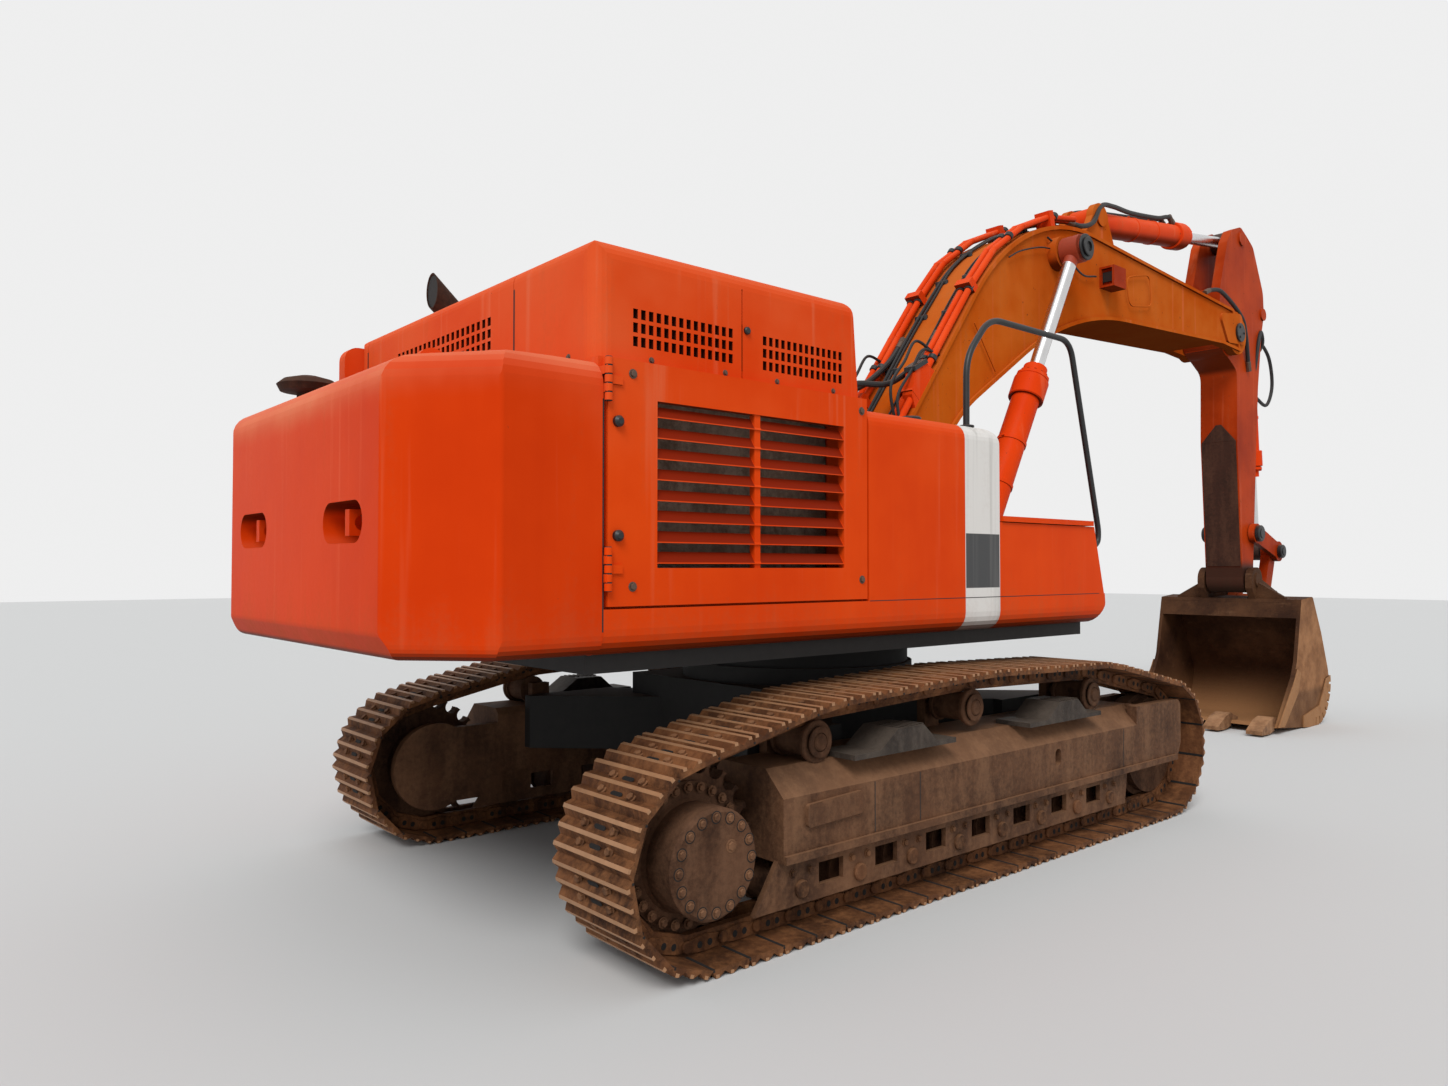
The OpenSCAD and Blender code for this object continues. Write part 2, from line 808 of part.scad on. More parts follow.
module hood_shell(y0, y1) {
  difference() {
    intersection() {
      across(y0, y1) polygon(hood_profile(0));
      hood_edges(0);
    }
    intersection() {
      across(y0 - 1, y1 + 1)
        polygon(concat(
          [[-hood_rear_x + sheet, housing_top_z - 1], [-hood_front_x + 45 - sheet, housing_top_z - 1]],
          hood_profile(sheet)
        ));
      hood_edges(sheet);
    }
  }
}

module hood() {
  color("#d8431c") placed() {
    difference() {
      hood_shell(-hood_y, lid_y0 - lid_gap);
      across(-hood_y - 1, -hood_y + sheet + 1) {
        vent_group(-hood_rear_x + 205, -hood_rear_x + 840, vent_z, vent_z + vent_h, vent_cols, vent_rows);
        vent_group(-hood_front_x - 700, -hood_front_x - 80, vent_z - 5, vent_z + vent_h - 5, vent_cols, vent_rows);
        translate([-hood_rear_x + 890, housing_top_z - 1]) square([8, hood_top_z - housing_top_z - 90]);
      }
    }
    hood_shell(lid_y1 + lid_gap, hood_y);
    across(hood_y - sheet + 5, upper_y)
      polygon(rounded([
        [cover_rear_x, housing_top_z + cover_lift, 0],
        [cover_rear_x + cover_l, housing_top_z + cover_lift, 0],
        [cover_rear_x + cover_l, hood_top_z - cover_drop, 60],
        [cover_rear_x, hood_top_z - cover_drop, 90]
      ]));
    bar_y(lid_axis, lid_pin_r, lid_y0 - lid_gap - 1, lid_y0 + 30);
    bar_y(lid_axis, lid_pin_r, lid_y1 - 30, lid_y1 + lid_gap + 1);
  }
}

module hood_lid() {
  color("#d8431c") placed()
    difference() {
      hood_shell(lid_y0, lid_y1);
      bar_y(lid_axis, lid_pin_r + hinge_play, lid_y0 - 1, lid_y0 + 40);
      bar_y(lid_axis, lid_pin_r + hinge_play, lid_y1 - 40, lid_y1 + 1);
      translate([-hood_rear_x - 1, 0, 0]) rotate([90, 0, 90]) linear_extrude(sheet + 2)
        vent_group(lid_y0 + 230, lid_y1 - 465, vent_z + 120, vent_z + 310, 20, vent_rows);
    }
}

exhaust_r = 85;
exhaust_x = -2330;
exhaust_y = 800;
exhaust_h = 170;

module exhaust() {
  color("#3b2a20") placed()
    difference() {
      union() {
        translate([exhaust_x, exhaust_y, hood_top_z]) cylinder(r = exhaust_r, h = exhaust_h);
        translate([exhaust_x, exhaust_y, hood_top_z + exhaust_h]) sphere(r = exhaust_r);
        translate([exhaust_x, exhaust_y, hood_top_z + exhaust_h]) rotate([0, -30, 0]) cylinder(r = exhaust_r, h = 160);
      }
      translate([exhaust_x, exhaust_y, hood_top_z + exhaust_h]) rotate([0, -30, 0]) cylinder(r = exhaust_r - 12, h = 200);
    }
}

// Tank housing on the right, tool box in front of it
tank_in_y = 900;
tank_rear_x = 50 - hood_front_x;
tank_round = 95;

module tank_housing() {
  color("#d8431c") placed()
    intersection() {
      across(-upper_y, -tank_in_y)
        polygon(rounded([
          [tank_rear_x, deck_z, 0],
          [tank_front_x, deck_z, 0],
          [tank_front_x, tank_top_z, 110],
          [tank_rear_x, tank_top_z, 0]
        ]));
      along_x(tank_rear_x - 10, tank_front_x + 10)
        polygon(rounded([
          [-deck_y, deck_z, 0],
          [-deck_y, sill_top_z + seat_gap, 0],
          [-upper_y, sill_top_z + seat_gap, 0],
          [-upper_y, tank_top_z, tank_round],
          [-tank_in_y, tank_top_z, 40],
          [-tank_in_y, deck_z, 0]
        ]));
    }
}

lid_t = 35;
box_in_y = 960;
box_rear_x = tank_front_x + seat_gap;

box_lid_x0 = box_rear_x + 22;
box_lid_x1 = tool_box_x - 160;
box_axis_y = box_in_y + 15;
box_axis_z = tool_box_z - lid_t / 2;

module bar_x(y, z, r, x0, x1) {
  translate([x0, y, z]) rotate([0, 90, 0]) cylinder(r = r, h = x1 - x0);
}

module tool_box() {
  color("#d8431c") placed() {
    difference() {
      union() {
        across(-upper_y, -box_in_y)
          polygon([
            [box_rear_x, sill_top_z + seat_gap],
            [tool_box_x, sill_top_z + seat_gap],
            [tool_box_x - 130, tool_box_z - lid_t - 5],
            [box_rear_x, tool_box_z - lid_t - 5]
          ]);
        block([box_rear_x, -deck_y, deck_z], [deck_front_x, -box_in_y, sill_top_z + 2]);
      }
      across(-upper_y + sheet, -box_in_y - sheet)
        polygon([
          [box_rear_x + sheet, sill_top_z + 40],
          [tool_box_x - sheet - 12, sill_top_z + 40],
          [tool_box_x - 130 - sheet, tool_box_z],
          [box_rear_x + sheet, tool_box_z]
        ]);
    }
    for (x = [box_rear_x, box_lid_x1 + 6])
      block([x, -box_axis_y - 16, tool_box_z - lid_t - 6], [x + 16, -box_in_y, tool_box_z]);
    bar_x(-box_axis_y, box_axis_z, lid_pin_r, box_rear_x + 1, box_lid_x0 + 30);
    bar_x(-box_axis_y, box_axis_z, lid_pin_r, box_lid_x1 - 30, box_lid_x1 + 20);
  }
}

module tool_box_lid() {
  color("#d8431c") placed()
    difference() {
      block([box_lid_x0, -upper_y - 14, tool_box_z - lid_t], [box_lid_x1, -box_axis_y + 10, tool_box_z]);
      bar_x(-box_axis_y, box_axis_z, lid_pin_r + hinge_play, box_lid_x0 - 1, box_lid_x0 + 40);
      bar_x(-box_axis_y, box_axis_z, lid_pin_r + hinge_play, box_lid_x1 - 40, box_lid_x1 + 1);
    }
}

// Side hinges: a fixed pin held above and below the door's knuckle, drawn for the left side
hinge_pin_r = 9;
hinge_play = 0.3;
knuckle_r = 15;
knuckle_h = 40;
hinge_out = 14;
hinge_zs = [1840, 2690];

module hinge_fixed(x, y_back, y_face, z) {
  for (s = [-1, 1])
    block([x - 16, y_back, z + s * 41 - 19], [x + 4, y_face + hinge_out + 11, z + s * 41 + 19]);
  translate([x, y_face + hinge_out, z - 60]) cylinder(r = hinge_pin_r, h = 120);
}

module hinge_leaf(x, y_face, z) {
  translate([x, y_face + hinge_out, z - knuckle_h / 2]) cylinder(r = knuckle_r, h = knuckle_h);
  block([x, y_face - 1, z - knuckle_h / 2], [x + 80, y_face + 12, z + knuckle_h / 2]);
}

module hinge_bore(x, y_face, z) {
  translate([x, y_face + hinge_out, z - knuckle_h]) cylinder(r = hinge_pin_r + hinge_play, h = 2 * knuckle_h);
}

// Louvred radiator door on the right side
door_rear_x = -2665;
door_front_x = -925;
door_low_z = sill_top_z + 12;
door_t = 45;
grille_x0 = -2390;
grille_x1 = -1115;
grille_z0 = 1845;
grille_z1 = 2620;
louvre_count = 8;

side_hinge_x = door_rear_x - 7;

module grille_door() {
  step = (grille_z1 - grille_z0) / louvre_count;
  color("#d8431c") placed()
    difference() {
      union() {
        difference() {
          block([door_rear_x, -upper_y, door_low_z], [door_front_x, -upper_y + door_t, housing_top_z - 8]);
          block([grille_x0, -upper_y - 1, grille_z0], [grille_x1, -upper_y + door_t + 1, grille_z1]);
        }
        for (i = [0:louvre_count - 1])
          translate([0, -upper_y + door_t, grille_z0 + (i + 0.5) * step])
            along_x(grille_x0 - 1, grille_x1 + 1)
              polygon([[-8, 28], [0, 28], [-door_t + 8, -28], [-door_t, -28]]);
        block(
          [(grille_x0 + grille_x1) / 2 - 20, -upper_y + 8, grille_z0 - 1],
          [(grille_x0 + grille_x1) / 2 + 20, -upper_y + door_t, grille_z1 + 1]
        );
        mirror([0, 1, 0])
          for (z = hinge_zs) hinge_leaf(side_hinge_x, upper_y, z);
      }
      mirror([0, 1, 0])
        for (z = hinge_zs) hinge_bore(side_hinge_x, upper_y, z);
    }
}

// Left side: housing behind the cab with its service door
cab_rear_x = -250;

housing_in_y = deck_y - 60;
door_seat_y = upper_y - door_t - seat_gap;

module side_housing(front_x) {
  for (z = hinge_zs) hinge_fixed(side_hinge_x, door_seat_y - 1, upper_y, z);
  difference() {
    union() {
      block([-weight_front_x + seat_gap, housing_in_y, deck_z], [front_x, deck_y, housing_top_z - seat_gap]);
      block([-weight_front_x + seat_gap, housing_in_y, sill_top_z + seat_gap], [front_x, door_seat_y, housing_top_z - seat_gap]);
    }
    block([-weight_front_x + 150, housing_in_y - 1, deck_z + 260], [front_x - 120, upper_y, housing_top_z - 120]);
  }
}

module left_housing() {
  color("#d8431c") placed() side_housing(cab_rear_x - 60);
}

// Intake cap on the counterweight's left corner
cap_r = 190;
cap_foot_z = socket_top_z + seat_gap;
cap_top_z = cap_foot_z + 270;

module intake_cap() {
  color("#5a4030") placed()
    translate([cap_x, cap_y, 0])
      rotate_extrude()
        polygon([
          [0, cap_foot_z],
          [70, cap_foot_z],
          [70, cap_top_z - 110],
          [cap_r - 20, cap_top_z - 100],
          [cap_r, cap_top_z - 60],
          [cap_r - 40, cap_top_z - 25],
          [60, cap_top_z],
          [0, cap_top_z]
        ]);
}

module right_housing() {
  color("#d8431c") placed() mirror([0, 1, 0]) side_housing(tank_rear_x - seat_gap);
}

left_door_front_x = cab_rear_x - 80;

module left_door() {
  color("#d8431c") placed()
    difference() {
      union() {
        block([door_rear_x, upper_y - door_t, door_low_z], [left_door_front_x, upper_y, housing_top_z - 8]);
        for (z = hinge_zs) hinge_leaf(side_hinge_x, upper_y, z);
      }
      for (z = hinge_zs) hinge_bore(side_hinge_x, upper_y, z);
      across(upper_y - door_t - 1, upper_y + 1)
        vent_group(-2300, -1500, 2450, 2640, 12, 3);
    }
}

// Cab on the left front
cab_front_x = cab_rear_x + cab_l;
cab_out_y = upper_y;
cab_in_y = boom_cyl_y + boom_barrel_r + cab_gap;
cab_low_z = sill_top_z + 6;
cab_door_x0 = cab_rear_x + 260;
cab_door_x1 = cab_front_x - 420;
cab_door_z0 = cab_low_z + 60;
cab_door_z1 = cab_top_z - 200;
window_low_z = 2380;
glass_t = 12;
cab_hinge_zs = [1980, 2900];
cab_hinge_x = cab_door_x0 - 3;

function cab_profile(in) = rounded([
  [cab_rear_x + in, cab_low_z + in, 40],
  [cab_front_x - in, cab_low_z + in, 60],
  [cab_front_x - in, cab_low_z + 700, 200],
  [cab_front_x - 260 - in, cab_top_z - in, 180 - in],
  [cab_rear_x + in, cab_top_z - in, 120 - in]
]);

module side_window(x0, x1, z0, z1, r) {
  polygon(rounded([[x0, z0, r], [x1, z0, r], [x1, z1, r], [x0, z1, r]]));
}

module cab_shell() {
  color("#d8431c") placed() {
    for (z = cab_hinge_zs) {
      for (s = [-1, 1])
        block([cab_hinge_x - 50, cab_out_y - 1, z + s * 41 - 19], [cab_hinge_x - 5, cab_out_y + 12, z + s * 41 + 19]);
      for (s = [-1, 1])
        block([cab_hinge_x - 16, cab_out_y + 6, z + s * 41 - 19], [cab_hinge_x + 8, cab_out_y + 25, z + s * 41 + 19]);
      translate([cab_hinge_x, cab_out_y + hinge_out, z - 60]) cylinder(r = hinge_pin_r, h = 120);
    }
    difference() {
      across(cab_in_y, cab_out_y) polygon(cab_profile(0));
      across(cab_in_y + cab_wall, cab_out_y - cab_wall) polygon(cab_profile(cab_wall));
      across(cab_out_y - cab_wall - 1, cab_out_y + 1)
        side_window(cab_door_x0 - 6, cab_door_x1 + 6, cab_door_z0 - 6, cab_door_z1 + 6, 60);
      across(cab_in_y - 1, cab_in_y + cab_wall + 1)
        side_window(cab_rear_x + 160, cab_front_x - 420, window_low_z, cab_top_z - 200, 70);
      across(cab_out_y - cab_wall - 1, cab_out_y + 1)
        side_window(cab_door_x1 + 90, cab_front_x - 240, window_low_z - 300, cab_top_z - 420, 40);
      block([cab_front_x - 500, cab_in_y + 110, cab_low_z + 330], [cab_front_x + 10, cab_out_y - 110, cab_top_z - 230]);
      block([cab_rear_x - 10, cab_in_y + 130, window_low_z], [cab_rear_x + cab_wall + 10, cab_out_y - 130, cab_top_z - 200]);
    }
  }
}

module cab_glass() {
  color([0.55, 0.65, 0.7, 0.4]) placed() {
    across(cab_in_y + 24, cab_in_y + 24 + glass_t)
      side_window(cab_rear_x + 160 + seat_gap, cab_front_x - 420 - seat_gap, window_low_z + seat_gap, cab_top_z - 200 - seat_gap, 70);
    across(cab_out_y - 24 - glass_t, cab_out_y - 24)
      side_window(cab_door_x1 + 90 + seat_gap, cab_front_x - 240 - seat_gap, window_low_z - 300 + seat_gap, cab_top_z - 420 - seat_gap, 40);
    block([cab_rear_x + 24, cab_in_y + 130 + seat_gap, window_low_z + seat_gap], [cab_rear_x + 24 + glass_t, cab_out_y - 130 - seat_gap, cab_top_z - 200 - seat_gap]);
    intersection() {
      difference() {
        across(cab_in_y, cab_out_y) polygon(cab_profile(24));
        across(cab_in_y - 1, cab_out_y + 1) polygon(cab_profile(24 + glass_t));
      }
      block([cab_front_x - 500, cab_in_y + 110 + seat_gap, cab_low_z + 330 + seat_gap], [cab_front_x + 10, cab_out_y - 110 - seat_gap, cab_top_z - 230 - seat_gap]);
    }
  }
}

module cab_door() {
  color("#d8431c") placed()
    difference() {
      union() {
        across(cab_out_y - cab_wall, cab_out_y)
          side_window(cab_door_x0, cab_door_x1, cab_door_z0, cab_door_z1, 54);
        for (z = cab_hinge_zs) {
          translate([cab_hinge_x, cab_out_y + hinge_out, z - knuckle_h / 2]) cylinder(r = 13, h = knuckle_h);
          block([cab_hinge_x + 3, cab_out_y - 1, z - knuckle_h / 2], [cab_hinge_x + 80, cab_out_y + 12, z + knuckle_h / 2]);
        }
      }
      for (z = cab_hinge_zs) hinge_bore(cab_hinge_x, cab_out_y, z);
      across(cab_out_y - cab_wall - 1, cab_out_y + 1)
        side_window(cab_door_x0 + 90, cab_door_x1 - 90, window_low_z, cab_door_z1 - 90, 40);
    }
}

module cab_door_glass() {
  color([0.55, 0.65, 0.7, 0.4]) placed()
    across(cab_out_y - 24 - glass_t, cab_out_y - 24)
      side_window(cab_door_x0 + 90 + seat_gap, cab_door_x1 - 90 - seat_gap, window_low_z + seat_gap, cab_door_z1 - 90 - seat_gap, 40);
}

cab_mid_y = (cab_in_y + cab_out_y) / 2;
seat_x = cab_rear_x + 330;
cab_floor_z = cab_low_z + cab_wall;

cab_half_in = (cab_out_y - cab_in_y) / 2 - cab_wall;
console_w = 0.28 * cab_half_in;
console_gap = 28;
console_y = cab_half_in - console_gap - console_w / 2;
seat_half_w = console_y - console_w / 2 - 12;
seat_base_h = 330;
seat_pad_h = 120;
seat_back_h = 700;
console_h = 560;
stick_h = 200;

module seat() {
  pad_z = cab_floor_z + seat_base_h;
  back_z = pad_z + seat_pad_h;
  color("#2b2b2d") placed() {
    block(
      [seat_x, cab_mid_y - seat_half_w + 40, cab_floor_z],
      [seat_x + 420, cab_mid_y + seat_half_w - 40, pad_z]
    );
    block([seat_x - 20, cab_mid_y - seat_half_w, pad_z - 1], [seat_x + 500, cab_mid_y + seat_half_w, back_z]);
    across(cab_mid_y - seat_half_w + 5, cab_mid_y + seat_half_w - 5)
      polygon([
        [seat_x - 20, back_z - 1],
        [seat_x + 110, back_z - 1],
        [seat_x + 20, back_z + seat_back_h],
        [seat_x - 90, back_z + seat_back_h]
      ]);
  }
}

module controls() {
  stick_z = cab_floor_z + console_h;
  color("#2b2b2d") placed() {
    for (s = [-1, 1]) {
      side_y = cab_mid_y + s * console_y;
      block(
        [seat_x + 60, side_y - console_w / 2, cab_floor_z],
        [seat_x + 520, side_y + console_w / 2, stick_z]
      );
      translate([seat_x + 450, side_y, stick_z - 1]) cylinder(r = 18, h = stick_h);
      translate([seat_x + 450, side_y, stick_z + stick_h + 20]) sphere(r = 36);
    }
    for (s = [-1, 1])
      translate([seat_x + 1340, cab_mid_y + s * cab_half_in / 4, cab_floor_z]) cylinder(r = 16, h = 520);
  }
}

// Handrail from the tank housing down to the tool box
rail_r = 20;
rail_y = -upper_y + 110;
rail_foot_z = tool_box_z - 220;
rail_top_z = tank_top_z + 745;

module handrail() {
  color("#232326") placed()
    tube([
      [160, rail_y, tank_top_z + 1],
      [170, rail_y, rail_top_z - 280],
      [430, rail_y, rail_top_z],
      [tool_box_x - 240, rail_y, rail_top_z],
      [tool_box_x + 130, rail_y, tool_box_z - 70],
      [tool_box_x + 120, rail_y, tool_box_z - 140],
      [tool_box_x - 130 * (rail_foot_z - sill_top_z) / (tool_box_z - lid_t - 5 - sill_top_z) + 4, rail_y, rail_foot_z]
    ], rail_r);
}

// Boom, drawn from its foot pin along the line to its tip pin
boom_tip_r = 250;
fork_w = arm_w + 2 * side_gap;
fork_back = 520;
base_ear_t = 70;
flange_out = 25;
flange_t = 32;
boom_points = [
  [-110, 174, 0],
  [0.4348 * boom_l, 0.2993 * boom_l, 2240],
  [boom_l - 40, 290, 0],
  [boom_l - 40, -215, 0],
  [boom_l - 480, -15, 300],
  [0.4986 * boom_l, 0.1421 * boom_l, 3650],
  [0.2128 * boom_l, 0.0851 * boom_l, 1500],
  [95, -190, 0]
];

module boom_frame() {
  translate([boom_foot[0], 0, boom_foot[1]]) rotate([0, -boom_slope, 0]) children();
}

module boom_outline() {
  union() {
    circle(r = foot_boss_r);
    translate([boom_l, 0]) circle(r = boom_tip_r);
    polygon(rounded(boom_points, 14));
  }
}

// Flange plates along the boom's back and underside, wider than its side plates
module boom_flanges() {
  difference() {
    polygon(rounded(boom_points, 14));
    polygon(rounded(inset(boom_points, flange_t), 14));
  }
}

module boom_tip_plate() {
  polygon(rounded([
    [boom_l - 420, 330, 60],
    [boom_l + 150, 190, 90],
    [boom_l + 150, -190, 90],
    [boom_l - 330, -40, 60]
  ]));
}

module boom() {
  color("#c9641f") placed() {
    difference() {
      union() {
        boom_frame() {
          across(-boom_w / 2 + flange_out, boom_w / 2 - flange_out) boom_outline();
          across(-boom_w / 2, boom_w / 2) boom_flanges();
          both_sides()
            across(boom_w / 2 - flange_out - 1, boom_w / 2) {
              circle(r = foot_boss_r);
              boom_tip_plate();
            }
        }
        both_sides()
          across(arm_cyl_w / 2 + side_gap, arm_cyl_w / 2 + side_gap + base_ear_t)
            union() {
              translate(arm_base) circle(r = 150);
              polygon([
                arm_base + [-150, 0],
                arm_base + [-420, -460],
                arm_base + [420, -520],
                arm_base + [150, 0]
              ]);
            }
        both_sides()
          bar_y(boom_eye, 150, boom_w / 2 - flange_out - 1, boom_cyl_y - boom_cyl_w / 2 - side_gap);
      }
      bar_y(boom_foot, pin_r + pin_play, -boom_w, boom_w);
      boom_frame()
        across(-fork_w / 2, fork_w / 2)
          polygon([
            [boom_l - fork_back, -800],
            [boom_l + 600, -800],
            [boom_l + 600, 800],
            [boom_l - fork_back, 800]
          ]);
    }
    bar_y(boom_tip, pin_r, -boom_w / 2, boom_w / 2);
    bar_y(arm_base, pin_r, -arm_cyl_w / 2 - side_gap - 1, arm_cyl_w / 2 + side_gap + 1);
    both_sides() {
      bar_y(boom_tip, pin_r + 30, boom_w / 2 - 1, boom_w / 2 + 20);
      bar_y(arm_base, pin_r + 30, arm_cyl_w / 2 + side_gap + base_ear_t - 1, arm_cyl_w / 2 + side_gap + base_ear_t + 20);
    }
  }
}

// Steel pipes over the boom's back
pipe_r = 27;
pipe_pairs = [-300, -225, 225, 300];
pipe_clear = 60;
pipe_stations = [
  [420, 497],
  [1000, 851],
  [1600, 1217],
  [2050, 1485],
  [2480, 1700],
  [2983, 1812],
  [3447, 1827],
  [3900, 1742]
];

clamp_turn = [31, 31, 31, 28, 20, 8, -6, -15];

module boom_pipes() {
  color("#cf4a1f") placed()
    boom_frame()
      difference() {
        union() {
          for (y = pipe_pairs)
            tube([for (p = pipe_stations) [p[0], y, p[1] + pipe_clear]], pipe_r);
          for (i = [1, 3, 6], s = [-1, 1])
            translate([pipe_stations[i][0], s * 262, pipe_stations[i][1] + pipe_clear - 60])
              rotate([0, -clamp_turn[i], 0]) cube([70, 150, 230], center = true);
        }
        translate([0, 0, seat_gap]) across(-boom_w, boom_w) boom_outline();
      }
}

lamp_w = 230;
lamp_h = 200;
lamp_y = boom_w / 2 - flange_out;
lamp_at = from_boom([4089, 1107]);

module boom_lamp() {
  color("#3a2a22") placed()
    difference() {
      block([lamp_at[0], -lamp_y - 150, lamp_at[1]], [lamp_at[0] + lamp_w, -lamp_y - seat_gap, lamp_at[1] + lamp_h]);
      block([lamp_at[0] - 1, -lamp_y - 130, lamp_at[1] + 20], [lamp_at[0] + 40, -lamp_y - 20, lamp_at[1] + lamp_h - 20]);
    }
}

// Hydraulic cylinders: drawn from base pin to rod eye along +x, then turned into place
module between(p, q) {
  translate([p[0], 0, p[1]]) rotate([0, -angle_of(q - p), 0]) children();
}

module barrel(l, r, rod_r, eye_w, eye_r, bore_from) {
  difference() {
    union() {
      rotate([0, 90, 0]) cylinder(r = r - 8, h = l - 140);
      translate([l - 330, 0, 0]) rotate([0, 90, 0]) cylinder(r = r, h = 240);
      translate([l - 100, 0, 0]) rotate([0, 90, 0]) cylinder(r = r - 24, h = 100);
      rotate([-90, 0, 0]) translate([0, 0, -eye_w / 2]) cylinder(r = eye_r, h = eye_w);
    }
    translate([bore_from, 0, 0]) rotate([0, 90, 0]) cylinder(r = rod_r + pin_play, h = l);
    rotate([-90, 0, 0]) translate([0, 0, -2 * eye_w]) cylinder(r = pin_r + pin_play, h = 4 * eye_w);
    for (s = [-1, 1])
      translate([0, s * (eye_w / 2 + 150), 0]) cube([2 * eye_r + 240, 300, 2 * r + 80], center = true);
  }
}

module rod(l, rod_l, rod_r, eye_w, eye_r, stub) {
  translate([l - rod_l, 0, 0]) rotate([0, 90, 0]) cylinder(r = rod_r, h = rod_l - eye_r * 0.6);
  translate([l, -eye_w / 2, 0]) rotate([-90, 0, 0]) cylinder(r = eye_r, h = eye_w);
  translate([l, -eye_w / 2 - stub, 0]) rotate([-90, 0, 0]) cylinder(r = pin_r + 30, h = eye_w + stub);
}

boom_cyl_l = norm(boom_eye - boom_base);
boom_barrel_l = 2060;
boom_rod_l = 1900;
eye_r = 125;

module boom_barrels() {
  color("#d8431c") placed()
    for (s = [-1, 1]) translate([0, s * boom_cyl_y, 0])
      between(boom_base, boom_eye)
        barrel(boom_barrel_l, boom_barrel_r, boom_rod_r, boom_cyl_w, eye_r, 560);
}

module boom_rods() {
  color("#c9ccd0") placed()
    for (s = [-1, 1]) translate([0, s * boom_cyl_y, 0])
      between(boom_base, boom_eye)
        mirror([0, s > 0 ? 1 : 0, 0])
          rod(boom_cyl_l, boom_rod_l, boom_rod_r, boom_cyl_w, eye_r, 25);
}

arm_cyl_l = norm(arm_eye - arm_base);
arm_barrel_l = 2240;
arm_rod_l = 2150;
arm_cyl_w = 200;

module arm_barrel() {
  color("#d8431c") placed()
    between(arm_base, arm_eye)
      barrel(arm_barrel_l, arm_barrel_r, arm_rod_r, arm_cyl_w, eye_r, 220);
}

module arm_rod() {
  color("#c9ccd0") placed()
    between(arm_base, arm_eye)
      rod(arm_cyl_l, arm_rod_l, arm_rod_r, arm_cyl_w, eye_r, 0);
}

curl_cyl_l = norm(link_pin - curl_base);
curl_barrel_l = 2010;
curl_rod_l = 1780;
curl_cyl_w = 170;

module bucket_barrel() {
  color("#d8431c") placed()
    between(curl_base, link_pin)
      barrel(curl_barrel_l, bucket_barrel_r, bucket_rod_r, curl_cyl_w, 115, 380);
}

module bucket_rod() {
  color("#c9ccd0") placed()
    between(curl_base, link_pin)
      rod(curl_cyl_l, curl_rod_l, bucket_rod_r, curl_cyl_w, 110, 0);
}

// Arm, drawn from the tip pin down the line to the bucket pin, n pointing away from the machine
arm_boss_r = 265;
arm_end_r = 155;
curl_slot = bucket_barrel_r + 30;

module arm_outline() {
  union() {
    translate(boom_tip) circle(r = arm_boss_r);
    translate(bucket_pin) circle(r = arm_end_r);
    translate(guide_pin) circle(r = 130);
    polygon(rounded([for (q = [
      [-540, -130, 120],
      [-1100, 185, 60],
      [-1240, 340, 60],
      [-1290, 600, 110],
      [-1180, 770, 90],
      [-1060, 930, 150],
      [-505, 1130, 300],
      [-230, 1105, 150],
      [0, 985, 200],
      [0.222 * arm_l, 750, 500],
      [0.53 * arm_l, 505, 500],
      [arm_l - 10, arm_end_r - 5, 0],
      [arm_l - 10, -arm_end_r + 5, 0],
      [0.427 * arm_l, 10, 800],
      [430, 165, 150],
      [150, -arm_boss_r + 40, 0],
      [-200, -arm_boss_r + 70, 0]
    ]) [from_arm(q)[0], from_arm(q)[1], q[2]]], 10));
  }
}

module arm() {
  color("#cf4a1f") placed() {
    difference() {
      across(-arm_w / 2, arm_w / 2) arm_outline();
      bar_y(boom_tip, pin_r + pin_play, -boom_w, boom_w);
      bar_y(bucket_pin, pin_r + pin_play, -boom_w, boom_w);
      across(-arm_cyl_w / 2 - side_gap, arm_cyl_w / 2 + side_gap)
        polygon([for (q = [[-2000, -600], [-560, -600], [-560, 1400], [-2000, 1400]]) from_arm(q)]);
      across(-curl_slot, curl_slot)
        polygon([for (q = [[-450, 800], [620, 700], [620, 1400], [-450, 1400]]) from_arm(q)]);
    }
    both_sides() {
      bar_y(arm_eye, pin_r + 30, arm_w / 2 - 1, arm_w / 2 + 20);
      bar_y(curl_base, pin_r + 20, arm_w / 2 - 1, arm_w / 2 + 20);
      bar_y(curl_base, 110, curl_cyl_w / 2 + side_gap, curl_slot + 1);
      bar_y(guide_pin, pin_r, arm_w / 2 - 1, guide_y + guide_t + 5);
      bar_y(guide_pin, pin_r + 40, guide_y + guide_t + 5, guide_y + guide_t + 35);
    }
    bar_y(curl_base, pin_r, -curl_cyl_w / 2 - side_gap - 1, curl_cyl_w / 2 + side_gap + 1);
  }
}

// Guide links beside the arm, and the link from their tip to the bucket's ears
guide_t = 62;
guide_y = arm_w / 2 + side_gap;

module guide_links() {
  color("#cf4a1f") placed()
    difference() {
      union() {
        both_sides()
          across(guide_y, guide_y + guide_t)
            union() {
              translate(guide_pin) circle(r = 120);
              translate(link_pin) circle(r = link_boss_r);
              d = unit(link_pin - guide_pin);
              n = [-d[1], d[0]];
              polygon([guide_pin + n * 110, guide_pin - n * 110, link_pin - n * 95, link_pin + n * 95]);
            }
      }
      bar_y(guide_pin, pin_r + pin_play, -boom_w, boom_w);
      bar_y(link_pin, pin_r + pin_play, -boom_w, boom_w);
    }
}

link_out_y = guide_y - side_gap;
link_in_y = curl_cyl_w / 2 + 2 * side_gap;

